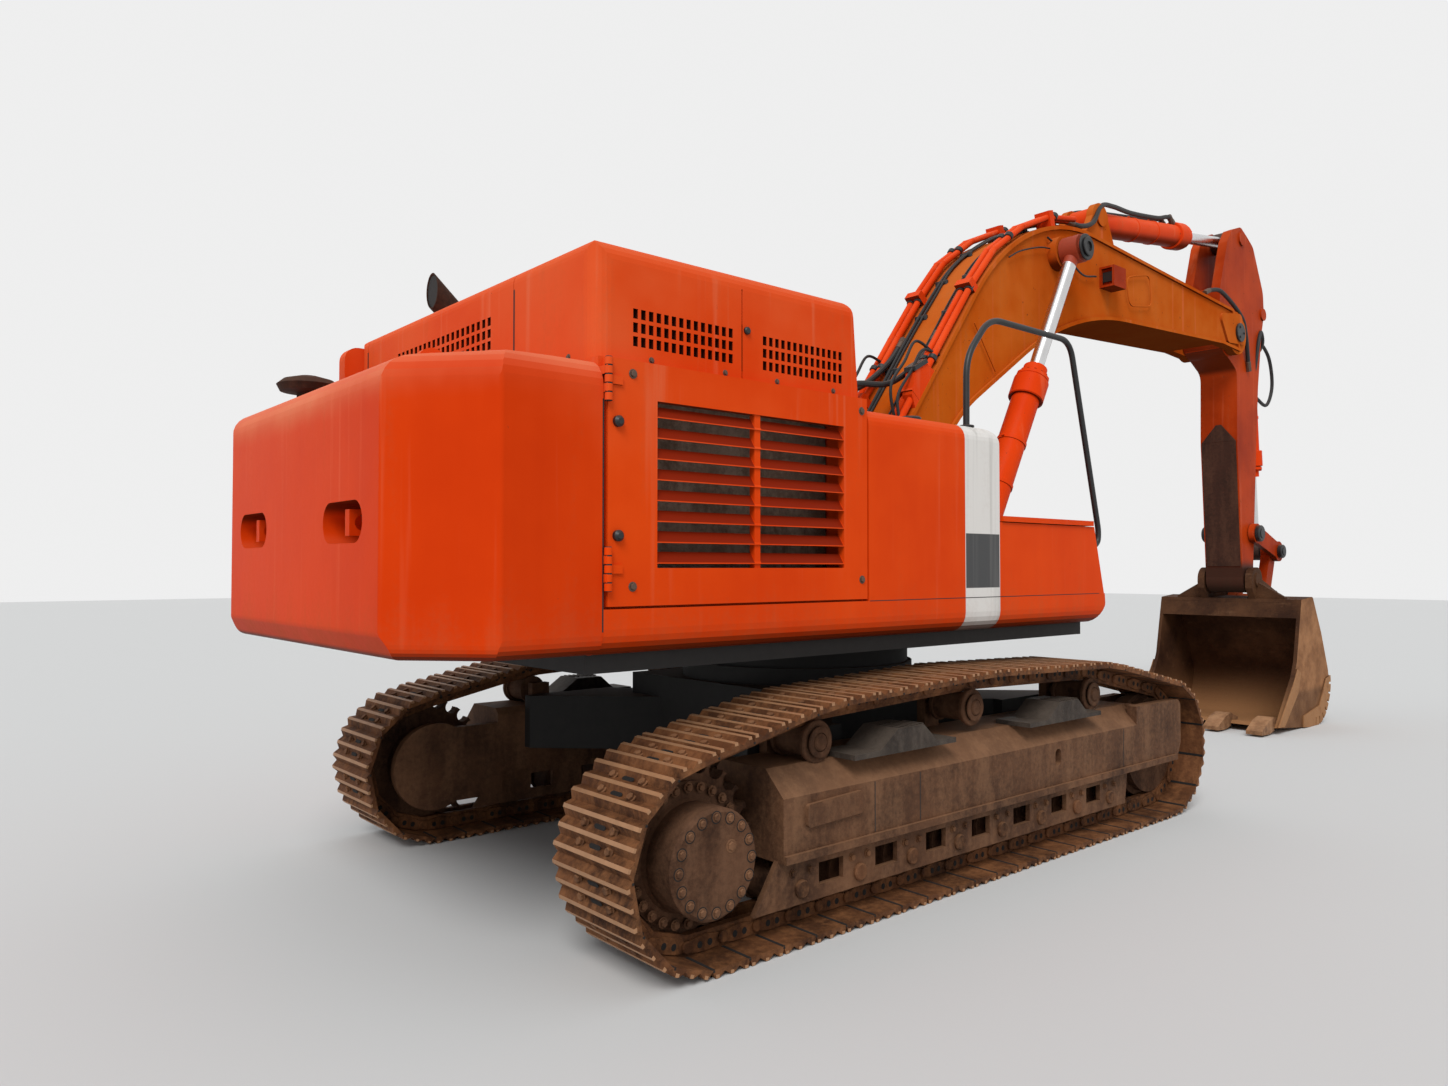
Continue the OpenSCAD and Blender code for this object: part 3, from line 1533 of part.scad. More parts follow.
module bucket_link() {
  color("#cf4a1f") placed() {
    union() {
      both_sides()
        across(link_in_y, link_out_y)
          union() {
            translate(link_pin) circle(r = 115);
            translate(bucket_ear_pin) circle(r = 115);
            d = unit(bucket_ear_pin - link_pin);
            n = [-d[1], d[0]];
            polygon([link_pin + n * 85, link_pin - n * 85, bucket_ear_pin - n * 85, bucket_ear_pin + n * 85]);
          }
    }
    both_sides() {
      bar_y(link_pin, pin_r, link_in_y, guide_y + guide_t + 5);
      bar_y(link_pin, pin_r + 25, guide_y + guide_t + 5, guide_y + guide_t + 30);
    }
    bar_y(bucket_ear_pin, 90, -link_in_y - 1, link_in_y + 1);
  }
}

// Bucket, drawn about its pin
ear_in_y = arm_w / 2 + side_gap + 13;
bucket_ear_t = 80;
cutter_t = 22;
shroud_slots = 7;
lip_x = -780;
lip_h = 70;

function bucket_outline(in) = [for (q = rounded([
  [-50, -225 - in, 0],
  [300 - in * 0.5, -195 - in, 60],
  [560 - in, -640, 300],
  [835 - in, -1250, 420],
  [560, -bucket_h + in, 420],
  [60, -bucket_h + in, 300],
  [lip_x, -bucket_h + lip_h + in, 0],
  [-310, -1110, 200],
  [-215, -930, 200],
  [-130, -560, 300]
], 8)) bucket_pin + q];

module bucket_part(pts) {
  polygon([for (q = pts) bucket_pin + q]);
}

module bucket() {
  color("#7a5638") placed() {
    difference() {
      across(-bucket_w / 2, bucket_w / 2) polygon(bucket_outline(0));
      across(-bucket_w / 2 + bucket_wall, bucket_w / 2 - bucket_wall)
        union() {
          polygon(bucket_outline(bucket_wall));
          bucket_part([
            [-40, -225 - bucket_wall],
            [-500, -225 - bucket_wall],
            [lip_x - 370, -bucket_h + lip_h + bucket_wall],
            [lip_x, -bucket_h + lip_h + bucket_wall],
            [-300, -1110],
            [-120, -560]
          ]);
        }
    }
    across(-bucket_w / 2 + 1, bucket_w / 2 - 1)
      bucket_part([[-48, -228], [-100, -440], [40, -440], [120, -222]]);
    both_sides() {
      across(ear_in_y, ear_in_y + bucket_ear_t)
        union() {
          translate(bucket_pin) circle(r = 150);
          translate(bucket_ear_pin) circle(r = 135);
          bucket_part([
            [-150, 0],
            [0, 150],
            [150, 0],
            [560, -140],
            [675, -270],
            [610, -640],
            [540, -620],
            [310, -225],
            [-40, -240],
            [-150, -100]
          ]);
        }
      translate([bucket_pin[0], 0, bucket_pin[1]])
        along_x(-20, 45)
          polygon([
            [ear_in_y + bucket_ear_t - 1, -20],
            [ear_in_y + bucket_ear_t - 1, -230],
            [bucket_w / 2 - 190, -230],
            [bucket_w / 2 - 190, -205]
          ]);
      across(bucket_w / 2 - 1, bucket_w / 2 + cutter_t)
        bucket_part([
          [-250, -1010],
          [-330, -1125],
          [lip_x - 25, -bucket_h + lip_h + 12],
          [lip_x + 130, -bucket_h + lip_h + 5],
          [-250, -1290],
          [-150, -1060]
        ]);
      across(bucket_w / 2 - 1, bucket_w / 2 + cutter_t)
        difference() {
          intersection() {
            polygon(bucket_outline(0));
            bucket_part([[-80, -1820], [1100, -1820], [1100, -1080], [640, -1180], [420, -1480], [-80, -1560]]);
          }
          for (i = [0:shroud_slots - 1])
            translate(bucket_pin + [330, -1220])
              rotate(-96 + i * 15.5) translate([390, -14]) square([180, 28]);
        }
      bar_y(bucket_pin, pin_r + 30, ear_in_y + bucket_ear_t - 1, ear_in_y + bucket_ear_t + 20);
      bar_y(bucket_ear_pin, pin_r + 30, ear_in_y + bucket_ear_t - 1, ear_in_y + bucket_ear_t + 20);
    }
    bar_y(bucket_pin, pin_r, -ear_in_y - 1, ear_in_y + 1);
  }
}

tooth_w = 170;

module bucket_teeth() {
  color("#8c6a48") placed()
    for (i = [0:tooth_count - 1]) {
      y = (i - (tooth_count - 1) / 2) * (bucket_w - 2 * bucket_wall - tooth_w - 2) / (tooth_count - 1);
      across(y - tooth_w / 2, y + tooth_w / 2)
        polygon([for (q = [
          [lip_x - seat_gap, lip_h],
          [lip_x + 30, lip_h + 38],
          [lip_x + 190, lip_h + 27],
          [lip_x + 190, lip_h + 60],
          [lip_x, lip_h + 120],
          [lip_x - 150, lip_h + 85],
          [lip_x - 330, 62],
          [lip_x - 330, 22],
          [lip_x - 150, 14],
          [lip_x - seat_gap, 40]
        ]) [bucket_pin[0] + q[0], q[1]]]);
    }
}

carbody();
slew_ring();
track_frame_right();
track_frame_left();
track_right();
track_left();
sprocket_right();
sprocket_left();
idlers();
bottom_rollers();
carrier_rollers();
steps();
revolving_frame();
sills();
counterweight();
engine();
radiator();
hood();
hood_lid();
exhaust();
tank_housing();
tool_box();
tool_box_lid();
left_housing();
right_housing();
left_door();
grille_door();
intake_cap();
cab_shell();
cab_glass();
cab_door();
cab_door_glass();
seat();
controls();
handrail();
boom();
boom_pipes();
boom_lamp();
boom_barrels();
boom_rods();
arm();
arm_barrel();
arm_rod();
bucket_barrel();
bucket_rod();
guide_links();
bucket_link();
bucket();
bucket_teeth();
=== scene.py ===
"""A worn crawler excavator on a pale floor, seen from its right rear."""

import math
import random

import bmesh
import bpy
from mathutils import Matrix, Vector


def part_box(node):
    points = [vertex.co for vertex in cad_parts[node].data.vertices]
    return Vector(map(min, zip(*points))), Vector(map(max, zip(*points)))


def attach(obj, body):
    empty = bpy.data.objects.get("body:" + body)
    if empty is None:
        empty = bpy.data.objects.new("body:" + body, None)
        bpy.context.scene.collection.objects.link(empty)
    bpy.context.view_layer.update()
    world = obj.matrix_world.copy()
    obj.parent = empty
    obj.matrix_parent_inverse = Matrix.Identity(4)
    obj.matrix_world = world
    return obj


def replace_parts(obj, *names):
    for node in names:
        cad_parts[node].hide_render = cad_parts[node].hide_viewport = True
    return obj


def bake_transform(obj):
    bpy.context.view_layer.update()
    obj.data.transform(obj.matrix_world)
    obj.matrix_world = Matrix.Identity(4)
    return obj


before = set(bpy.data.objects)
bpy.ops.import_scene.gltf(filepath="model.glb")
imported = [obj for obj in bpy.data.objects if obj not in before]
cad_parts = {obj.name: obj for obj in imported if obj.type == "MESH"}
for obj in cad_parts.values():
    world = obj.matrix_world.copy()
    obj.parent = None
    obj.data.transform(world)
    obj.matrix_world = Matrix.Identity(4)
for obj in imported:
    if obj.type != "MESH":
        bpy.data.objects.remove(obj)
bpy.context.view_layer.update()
chance = random.Random(7)

# Places that the frame gives, in metres in the row frame.
REAR_FACE_FROM_SLEW = 3.55
SLEW_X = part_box("counterweight")[0][0] + REAR_FACE_FROM_SLEW
UPPER_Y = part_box("counterweight")[1][1]
HALF_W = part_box("track_left")[1][1]

# Pins in the x and z plane, from the slew axis.
BOOM_FOOT = (0.42, 2.02)
BOOM_SLOPE = math.radians(21.471)
BOOM_TIP = (6.9798, 4.6002)
ARM_LEAN = math.radians(9.2)
BOOM_CYLINDER = ((1.39, 1.75), (3.0399, 4.7107))
ARM_CYLINDER = ((4.0995, 5.3306), (7.3791, 5.8248))
BUCKET_CYLINDER = ((7.9797, 5.0002), (8.2195, 2.05))
GUIDE_W, GUIDE_N = 2.403, 0.198
PIN_R = 0.055

X, Y, Z = Vector((1, 0, 0)), Vector((0, 1, 0)), Vector((0, 0, 1))
SIDES = (("left", 1), ("right", -1))


def at(x, y, z):
    """A point given from the slew axis, in the row frame."""
    return Vector((x + SLEW_X, y, z))


def above(pin):
    """A pin's place in the middle of the machine."""
    return at(pin[0], 0.0, pin[1])


def on_boom(u, v, y):
    """u runs along the boom from its foot to its tip, v square to it and up."""
    c, s = math.cos(BOOM_SLOPE), math.sin(BOOM_SLOPE)
    return at(BOOM_FOOT[0] + u * c - v * s, y, BOOM_FOOT[1] + u * s + v * c)


def on_arm(w, n, y):
    """w runs down the arm from the boom's tip, n away from the machine."""
    c, s = math.cos(ARM_LEAN), math.sin(ARM_LEAN)
    return at(BOOM_TIP[0] + w * s + n * c, y, BOOM_TIP[1] - w * c + n * s)


def on_line(ends, along, off, y):
    """Along a cylinder from its base pin, and off to its left side as it points."""
    (x0, z0), (x1, z1) = ends
    length = math.hypot(x1 - x0, z1 - z0)
    dx, dz = (x1 - x0) / length, (z1 - z0) / length
    return at(x0 + along * dx - off * dz, y, z0 + along * dz + off * dx)


def line_axis(ends):
    return (on_line(ends, 1, 0, 0) - on_line(ends, 0, 0, 0)).normalized()


# Camera first: the photograph's own view.
PHOTO_EYE = at(-5.15647, -5.18673, 1.84699)
PHOTO_YAW = 0.860709531
PHOTO_PITCH = 0.0247278764
PHOTO_LENS = 24.703
SENSOR_W = 36.0
FARTHEST_SEEN = 300.0


def photo_camera():
    data = bpy.data.cameras.new("photo")
    data.lens = PHOTO_LENS
    data.sensor_width = SENSOR_W
    data.clip_end = FARTHEST_SEEN
    camera = bpy.data.objects.new("photo", data)
    camera.location = PHOTO_EYE
    looking = Vector((
        math.cos(PHOTO_YAW) * math.cos(PHOTO_PITCH),
        math.sin(PHOTO_YAW) * math.cos(PHOTO_PITCH),
        math.sin(PHOTO_PITCH),
    ))
    camera.rotation_euler = looking.to_track_quat("-Z", "Y").to_euler()
    bpy.context.scene.collection.objects.link(camera)
    bpy.context.scene.camera = camera


photo_camera()


# Shader maths.


class Value:
    """A shader socket that takes part in Python arithmetic."""

    def __init__(self, finish, socket):
        self.finish = finish
        self.socket = socket

    def calc(self, operation, *rest):
        inputs = dict(enumerate((self, *rest)))
        return self.finish.node("ShaderNodeMath", {"operation": operation}, inputs)

    def __add__(self, other):
        return self.calc("ADD", other)

    __radd__ = __add__

    def __mul__(self, other):
        return self.calc("MULTIPLY", other)

    __rmul__ = __mul__

    def __sub__(self, other):
        return self.calc("SUBTRACT", other)

    def __rsub__(self, other):
        return self.finish.node("ShaderNodeMath", {"operation": "SUBTRACT"}, {0: other, 1: self})

    def size(self):
        return self.calc("ABSOLUTE")

    def root(self):
        return self.calc("SQRT")

    def most(self, other):
        return self.calc("MAXIMUM", other)


class Nodes:
    """An empty node tree, of a material or of the world."""

    def __init__(self, owner):
        owner.use_nodes = True
        self.tree = owner.node_tree
        self.tree.nodes.clear()

    def make(self, kind, settings=None, sockets=None):
        made = self.tree.nodes.new(kind)
        for name, value in (settings or {}).items():
            setattr(made, name, value)
        for name, value in (sockets or {}).items():
            if isinstance(value, Value):
                self.tree.links.new(value.socket, made.inputs[name])
            else:
                made.inputs[name].default_value = value
        return made

    def node(self, kind, settings=None, sockets=None, out=0):
        return Value(self, self.make(kind, settings, sockets).outputs[out])


class Finish(Nodes):
    """One material, and the few patterns that worn paint and steel are made of."""

    def __init__(self, name):
        self.material = bpy.data.materials.new(name)
        super().__init__(self.material)
        self.place = self.node("ShaderNodeTexCoord", out="Object")
        self.x, self.y, self.z = self.parts(self.place)

    def parts(self, vector):
        made = self.make("ShaderNodeSeparateXYZ", None, {0: vector})
        return [Value(self, socket) for socket in made.outputs]

    def mottle(self, scale, detail=5.0, rough=0.6, stretch=(1, 1, 1)):
        """Cloudy noise from 0 to 1; a small stretch draws it out along that axis."""
        where = self.node("ShaderNodeMapping", None, {0: self.place, 3: stretch})
        return self.node(
            "ShaderNodeTexNoise",
            None,
            {"Vector": where, "Scale": scale, "Detail": detail, "Roughness": rough},
        )

    def ribs(self, scale, direction="X"):
        """Even bands square to an axis."""
        return self.node(
            "ShaderNodeTexWave", {"bands_direction": direction}, {"Vector": self.place, "Scale": scale}
        )

    def step(self, value, low, high):
        """0 at low, 1 at high, smooth between; low may be the greater."""
        return self.node(
            "ShaderNodeMapRange",
            {"interpolation_type": "SMOOTHSTEP"},
            {0: value, 1: low, 2: high, 3: 0.0, 4: 1.0},
        )

    def band(self, value, low, high, soft=0.002):
        """1 between low and high."""
        return self.step(value, low - soft, low + soft) * self.step(value, high + soft, high - soft)

    def inside(self, low, high, soft):
        """1 within a box, fading in over twice soft at its faces."""
        places = (self.x, self.y, self.z)
        across, along, up = (self.band(v, a, b, soft) for v, a, b in zip(places, low, high))
        return across * along * up

    def facing(self):
        return self.parts(self.node("ShaderNodeNewGeometry", out="Normal"))

    def mix(self, factor, first, second):
        return self.node("ShaderNodeMix", {"data_type": "RGBA"}, {0: factor, 6: first, 7: second}, 2)

    def bump(self, height, strength, distance):
        sockets = {"Strength": strength, "Distance": distance, "Height": height}
        return self.node("ShaderNodeBump", None, sockets)

    def surface(self, **sockets):
        named = {name.replace("_", " "): value for name, value in sockets.items()}
        shader = self.node("ShaderNodeBsdfPrincipled", None, named)
        self.make("ShaderNodeOutputMaterial", None, {"Surface": shader})
        return self.material


def rgb(r, g, b):
    return (r, g, b, 1.0)


# Colours.

PAINT = rgb(0.77, 0.068, 0.005)
PAINT_DEEP = rgb(0.67, 0.047, 0.003)
PAINT_CHALK = rgb(0.72, 0.115, 0.036)
RUST = rgb(0.11, 0.036, 0.015)
DUST = rgb(0.26, 0.115, 0.05)
EARTH_PALE = rgb(0.33, 0.17, 0.088)
STRIPE = rgb(0.74, 0.71, 0.67)
STRIPE_SOILED = rgb(0.42, 0.4, 0.37)
STRIPE_GREY = rgb(0.085, 0.085, 0.085)
STRIPE_FADED = rgb(0.15, 0.145, 0.14)
RAIN_MARK = rgb(0.74, 0.17, 0.075)
VENT_SHADE = rgb(0.03, 0.006, 0.004)
SLAT_SHADE = rgb(0.2, 0.013, 0.003)
ARM_FOOT_DARK = rgb(0.034, 0.02, 0.014)
UNDERSIDE_SHADE = rgb(0.055, 0.011, 0.003)
CHROME = rgb(0.78, 0.78, 0.79)
CHROME_DULL = rgb(0.55, 0.54, 0.53)
EYE_GREASE = rgb(0.05, 0.022, 0.014)
BUCKET_SOIL_DARK = rgb(0.03, 0.011, 0.005)
BUCKET_SOIL = rgb(0.1, 0.042, 0.018)
BUCKET_FLOOR_LIGHT = rgb(0.36, 0.17, 0.07)
BUCKET_SIDE_DARK = rgb(0.2, 0.085, 0.034)
BUCKET_SIDE = rgb(0.42, 0.2, 0.088)
BUCKET_WORN = rgb(0.36, 0.18, 0.08)
BUCKET_SCRAPE = rgb(0.24, 0.125, 0.065)
BUCKET_SLOT = rgb(0.025, 0.01, 0.005)

# The white stripe and its grey square on the right side, from the slew axis.
STRIPE_X, STRIPE_W = -0.01, 0.37
SQUARE_IN, SQUARE_LOW, SQUARE_HIGH = 0.006, 1.72, 2.06
# The height over which a crown's pale edge fades in: bleached paint, with a painted highlight standing in for
# its rounding.
CROWN_LOW, CROWN_HIGH = 2.7, 3.0


def painted(
    name, base=PAINT, deep=PAINT_DEEP, chalk=PAINT_CHALK, bleach=0.5, dirt=0.22, low=1.45, high=3.4,
    rear=0.0, stripe=False, darkened_boxes=(), crown=0.0, wear=0.0, gloss=0.03,
):
    """Weathered paint: sun-bleached above, streaked by rain, with chips that show rust, and painted shade on
    what faces down.

    Each darkened box is a box, the softness of its faces and the colour painted inside it.
    """
    f = Finish(name)
    clouds = f.mottle(0.9, 4)
    streaks = f.mottle(6.0, 4, 0.55, (1, 1, 0.1))
    fine = f.mottle(38.0, 4)
    rain = f.mottle(13.0, 3, 0.5, (1, 1, 0.035))
    toward = f.facing()
    height = f.step(f.z, low, high)
    top = f.step(toward[2], 0.2, 0.9)
    back = f.step(toward[0], -0.3, -0.9) * rear
    bleached = f.step(clouds + 0.4 * height + 0.35 * top + 0.5 * back * height, 0.66, 1.2) * bleach
    # A crown is a pale top edge, partly bleached paint and partly a painted highlight for the edge's
    # rounding, strongest on what faces back or up.
    if crown:
        edge = f.step(f.z + 0.3 * clouds + 0.06 * streaks, CROWN_LOW, CROWN_HIGH) * crown
        bleached = bleached.most(edge * (0.12 + 0.88 * f.step(toward[0], -0.6, -0.95).most(0.6 * top)))
    tone = f.mix(f.step(clouds + 0.25 * streaks, 0.35, 0.85), deep, base)
    tone = f.mix(bleached, tone, chalk)

    upright = f.step(toward[2].size(), 0.5, 0.2)
    marks = f.step(rain + 0.12 * clouds, 0.64, 0.82) * upright * (0.15 + 0.35 * height)
    tone = f.mix(marks, tone, RAIN_MARK)
    if stripe:
        tone = with_stripe(f, tone, rain)

    splash = f.step(f.z + 0.5 * streaks, low + 0.75, low + 0.15)
    grime = f.step(streaks + 0.35 * fine + 0.3 * splash, 0.74, 1.12) * dirt
    tone = f.mix(grime, tone, DUST)
    chips = f.step(f.mottle(20.0, 8, 0.72), 0.7 - wear, 0.725 - wear)
    tone = f.mix(chips * 0.85, tone, RUST)
    # Painted shade: surfaces that face down are darkened.
    tone = f.mix(f.step(toward[2], -0.35, -0.85) * 0.85, tone, UNDERSIDE_SHADE)
    # Each box darkens the paint inside it: painted shade in vents and on slats, a darker patch at the arm's
    # foot.
    for low_corner, high_corner, soft, shade in darkened_boxes:
        tone = f.mix(f.inside(low_corner, high_corner, soft) * 0.95, tone, shade)

    rough = 0.36 + 0.25 * bleached + 0.3 * grime + 0.3 * chips + 0.1 * fine
    dents = f.bump(f.mottle(2.2, 3) + 0.06 * fine, 0.12, 0.02)
    return f.surface(Base_Color=tone, Roughness=rough, Normal=dents, Specular_IOR_Level=gloss)


def with_stripe(f, tone, rain):
    """The upright white stripe with its grey square, on the right side alone."""
    along = f.x - (SLEW_X + STRIPE_X)
    right = f.step(f.y, 0.01, -0.01)
    white = f.mix(f.step(rain, 0.5, 0.72) * 0.6, STRIPE, STRIPE_SOILED)
    tone = f.mix(f.band(along, 0.0, STRIPE_W) * right, tone, white)
    across = f.band(along, SQUARE_IN, STRIPE_W - SQUARE_IN)
    square = across * f.band(f.z, SQUARE_LOW, SQUARE_HIGH) * right
    return f.mix(square, tone, f.mix(f.step(rain, 0.42, 0.75), STRIPE_GREY, STRIPE_FADED))


def earthen(name, pale, mid, dark, pale_share=0.5, rough_base=0.72, lump=0.5, dust=0.4):
    """Steel under dried mud and rust."""
    f = Finish(name)
    broad = f.mottle(1.7, 6, 0.62)
    grains = f.mottle(30.0, 8, 0.7)
    runs = f.mottle(7.0, 5, 0.6, (1, 1, 0.2))
    tone = f.mix(f.step(broad + 0.35 * grains, 0.42, 0.9), dark, mid)
    tone = f.mix(f.step(runs + 0.5 * grains, 0.6, 1.0) * pale_share, tone, pale)
    dry = f.step(f.facing()[2], 0.3, 0.95) * dust
    tone = f.mix(dry, tone, pale)
    return f.surface(
        Base_Color=tone,
        Roughness=rough_base + 0.2 * grains,
        Normal=f.bump(grains + 0.6 * broad, lump, 0.012),
        Metallic=0.05,
        Specular_IOR_Level=0.14,
    )


# Half widths over which the bucket's side plates, slots and cutters begin.
BUCKET_IN_Y, BUCKET_OUT_Y = 0.795, 0.81
SLOT_Y0, SLOT_Y1 = 0.815, 0.824
CUTTER_Y0, CUTTER_Y1 = 0.83, 0.836


def bucket_finish():
    """Tan dust on the sides, dark soil inside with painted light towards its floor, steel worn pale along the
    lip.
    """
    f = Finish("bucket steel")
    broad = f.mottle(2.2, 6, 0.65)
    grains = f.mottle(34.0, 8, 0.7)
    scrapes = f.mottle(9.0, 6, 0.6, (1, 0.25, 1))
    across = f.y.size()
    tone = f.mix(f.step(broad + 0.3 * grains, 0.4, 0.9), BUCKET_SOIL_DARK, BUCKET_SOIL)
    # Painted light: the inside grows paler towards the floor.
    tone = f.mix(f.step(f.z + 0.25 * broad, 0.75, 0.15) * 0.8, tone, BUCKET_FLOOR_LIGHT)

    side = f.step(f.facing()[1].size(), 0.6, 0.95) * f.step(across, BUCKET_IN_Y, BUCKET_OUT_Y)
    tan = f.mix(f.step(broad + 0.4 * scrapes, 0.5, 0.95), BUCKET_SIDE_DARK, BUCKET_SIDE)
    tone = f.mix(side, tone, tan)
    proud = f.step(across, CUTTER_Y0, CUTTER_Y1)
    tone = f.mix(proud * f.step(scrapes + 0.4 * grains, 0.35, 0.85), tone, BUCKET_WORN)
    slot = f.band(across, SLOT_Y0, SLOT_Y1) * f.step(f.z, 0.48, 0.38)
    tone = f.mix(slot * 0.5, tone, BUCKET_SLOT)
    tone = f.mix(f.step(scrapes + 0.3 * grains, 0.74, 0.98) * 0.45, tone, BUCKET_SCRAPE)
    return f.surface(
        Base_Color=tone,
        Roughness=0.62 + 0.25 * grains,
        Normal=f.bump(grains + 0.5 * broad, 0.45, 0.012),
        Specular_IOR_Level=0.15,
    )


def plain(name, colour, rough, metal=0.0, grain=0.08, scuff=0.35):
    """Dark paint, rubber or bare metal with a fine uneven tone and dust on what faces up."""
    f = Finish(name)
    fine = f.mottle(18.0, 6)
    tone = f.mix(fine, colour, rgb(*(0.6 * c for c in colour[:3])))
    dusty = f.step(f.facing()[2] + 0.5 * fine, 0.7, 1.4) * scuff
    return f.surface(
        Base_Color=f.mix(dusty, tone, DUST),
        Roughness=rough + grain * fine + 0.2 * dusty,
        Metallic=metal,
        Normal=f.bump(fine, 0.08, 0.004),
    )


def rod_finish(name, eye, eye_tone, reach=0.2):
    """Chromed steel, with a dull eye round a point in the x and z plane."""
    f = Finish(name)
    fine = f.mottle(14.0, 6, 0.6, (1, 1, 0.3))
    across, up = f.x - (SLEW_X + eye[0]), f.z - eye[1]
    away = (across * across + up * up).root()
    is_eye = f.step(away, reach, reach - 0.01)
    tone = f.mix(is_eye, f.mix(fine, CHROME, CHROME_DULL), eye_tone)
    return f.surface(
        Base_Color=tone, Metallic=1.0 - is_eye, Roughness=0.2 + 0.12 * fine + 0.4 * is_eye
    )


def woven(name, colour, worn_colour):
    """Seat cloth with a fine crossed weave."""
    f = Finish(name)
    weave = f.ribs(160.0) * 0.5 + f.ribs(160.0, "Z") * 0.5
    worn = f.mottle(6.0, 4)
    tone = f.mix(weave * 0.4 + worn * 0.3, colour, worn_colour)
    return f.surface(
        Base_Color=tone, Roughness=0.9, Sheen_Weight=0.3, Normal=f.bump(weave, 0.3, 0.002)
    )


def glass(name, colour):
    """Tinted glass under a film of dust."""
    f = Finish(name)
    film = f.mottle(3.0, 5)
    return f.surface(
        Base_Color=colour, Roughness=0.04 + 0.1 * film, Alpha=0.3 + 0.15 * film, Specular_IOR_Level=0.6
    )


def lens(name, hollow, crest):
    """Ribbed lamp glass, its ribs drawn as darker and paler bands: painted shade and highlight."""
    f = Finish(name)
    return f.surface(Base_Color=f.mix(f.ribs(30.0, "Z"), hollow, crest), Roughness=0.15)


# Boxes painted darker: painted shade in the hood's two vents and on the grille's slats each side of its post,
# and a darker patch at the arm's foot.
HOOD_VENTS = (
    (at(-2.52, -1.4165, 2.85), at(-1.0, -1.3, 3.09), 0.001, VENT_SHADE),
    (at(-2.6865, -0.47, 2.96), at(-2.6, 0.83, 3.21), 0.001, VENT_SHADE),
)
GRILLE = [
    (at(x0, -1.492, 1.848), at(x1, -1.3, 2.618), 0.0025, SLAT_SHADE)
    for x0, x1 in ((-2.388, -1.7745), (-1.7305, -1.118))
]
# The arm's foot is painted darker.
ARM_FOOT = ((at(7.0, -1.0, 1.0), at(7.75, 1.0, 1.9), 0.07, ARM_FOOT_DARK),)

# Finishes.

orange = painted("orange paint", rear=0.6)
weight_orange = painted(
    "counterweight paint", rgb(0.69, 0.05, 0.003), rgb(0.6, 0.037, 0.002), rgb(0.76, 0.25, 0.13),
    bleach=0.15, crown=1.0,
)
hood_orange = painted("hood paint", bleach=0.8, rear=0.2, darkened_boxes=HOOD_VENTS)
grille_orange = painted("grille paint", darkened_boxes=GRILLE)
striped = painted("striped paint", stripe=True)
boom_orange = painted(
    "boom paint", rgb(0.56, 0.115, 0.009), rgb(0.46, 0.065, 0.004), rgb(0.58, 0.16, 0.04),
    bleach=0.5, dirt=0.4, low=2.5, high=5.0, wear=0.05, gloss=0.0,
)
arm_orange = painted(
    "arm paint", rgb(0.5, 0.05, 0.005), rgb(0.27, 0.02, 0.002), rgb(0.5, 0.09, 0.028),
    bleach=0.3, dirt=0.55, low=1.5, high=6.0, wear=0.06, darkened_boxes=ARM_FOOT,
)
cylinder_orange = painted(
    "cylinder paint", rgb(0.8, 0.062, 0.006), rgb(0.66, 0.04, 0.003), rgb(0.78, 0.13, 0.045),
    bleach=0.4, dirt=0.3, low=1.5, high=6.0, wear=0.03,
)
mud = earthen(
    "dried mud", rgb(0.34, 0.165, 0.078), rgb(0.15, 0.062, 0.028), rgb(0.03, 0.013, 0.007),
    rough_base=0.62,
)
shoe_mud = earthen(
    "shoe mud", rgb(0.37, 0.155, 0.06), rgb(0.125, 0.047, 0.019), rgb(0.022, 0.009, 0.005),
    rough_base=0.6, dust=0.08,
)
frame_mud = earthen(
    "frame mud", EARTH_PALE, rgb(0.145, 0.066, 0.033), rgb(0.05, 0.023, 0.013),
    pale_share=0.35, rough_base=0.6, lump=0.35,
)
sprocket_mud = earthen(
    "drive mud", rgb(0.2, 0.1, 0.055), rgb(0.105, 0.047, 0.024), rgb(0.022, 0.01, 0.006)
)
core_dust = earthen(
    "dusty core", rgb(0.42, 0.32, 0.25), rgb(0.27, 0.19, 0.14), rgb(0.12, 0.08, 0.055), pale_share=0.6
)
pipe_rust = earthen(
    "exhaust rust", rgb(0.11, 0.05, 0.03), rgb(0.055, 0.026, 0.017), rgb(0.02, 0.011, 0.008),
    rough_base=0.7, lump=0.2,
)
step_grey = earthen(
    "worn step", rgb(0.14, 0.11, 0.086), rgb(0.055, 0.042, 0.034), rgb(0.015, 0.011, 0.009),
    pale_share=0.45, rough_base=0.5,
)
wear_brown = earthen(
    "wear plate", rgb(0.12, 0.05, 0.028), rgb(0.054, 0.02, 0.012), rgb(0.02, 0.009, 0.006),
    pale_share=0.45, rough_base=0.6, lump=0.2,
)
tooth_steel = earthen(
    "tooth steel", rgb(0.46, 0.25, 0.13), rgb(0.3, 0.145, 0.068), rgb(0.09, 0.042, 0.022),
    pale_share=0.7, rough_base=0.5, dust=0.2,
)
worn_edge = plain("worn steel edge", rgb(0.47, 0.24, 0.115), 0.5, metal=0.1, grain=0.2, scuff=0.2)
dark_frame = plain("dark frame", rgb(0.014, 0.012, 0.011), 0.7)
shadow = plain("dark gap", rgb(0.007, 0.005, 0.004), 0.85, scuff=0.0)
black = plain("black steel", rgb(0.012, 0.012, 0.013), 0.42)
rubber = plain("black rubber", rgb(0.012, 0.011, 0.011), 0.55, grain=0.1, scuff=0.2)
engine_grey = plain("engine grey", rgb(0.09, 0.09, 0.09), 0.6)
bolt_steel = plain("bolt steel", rgb(0.13, 0.08, 0.055), 0.5, metal=0.3)
trim = plain("cab trim", rgb(0.02, 0.02, 0.022), 0.6)
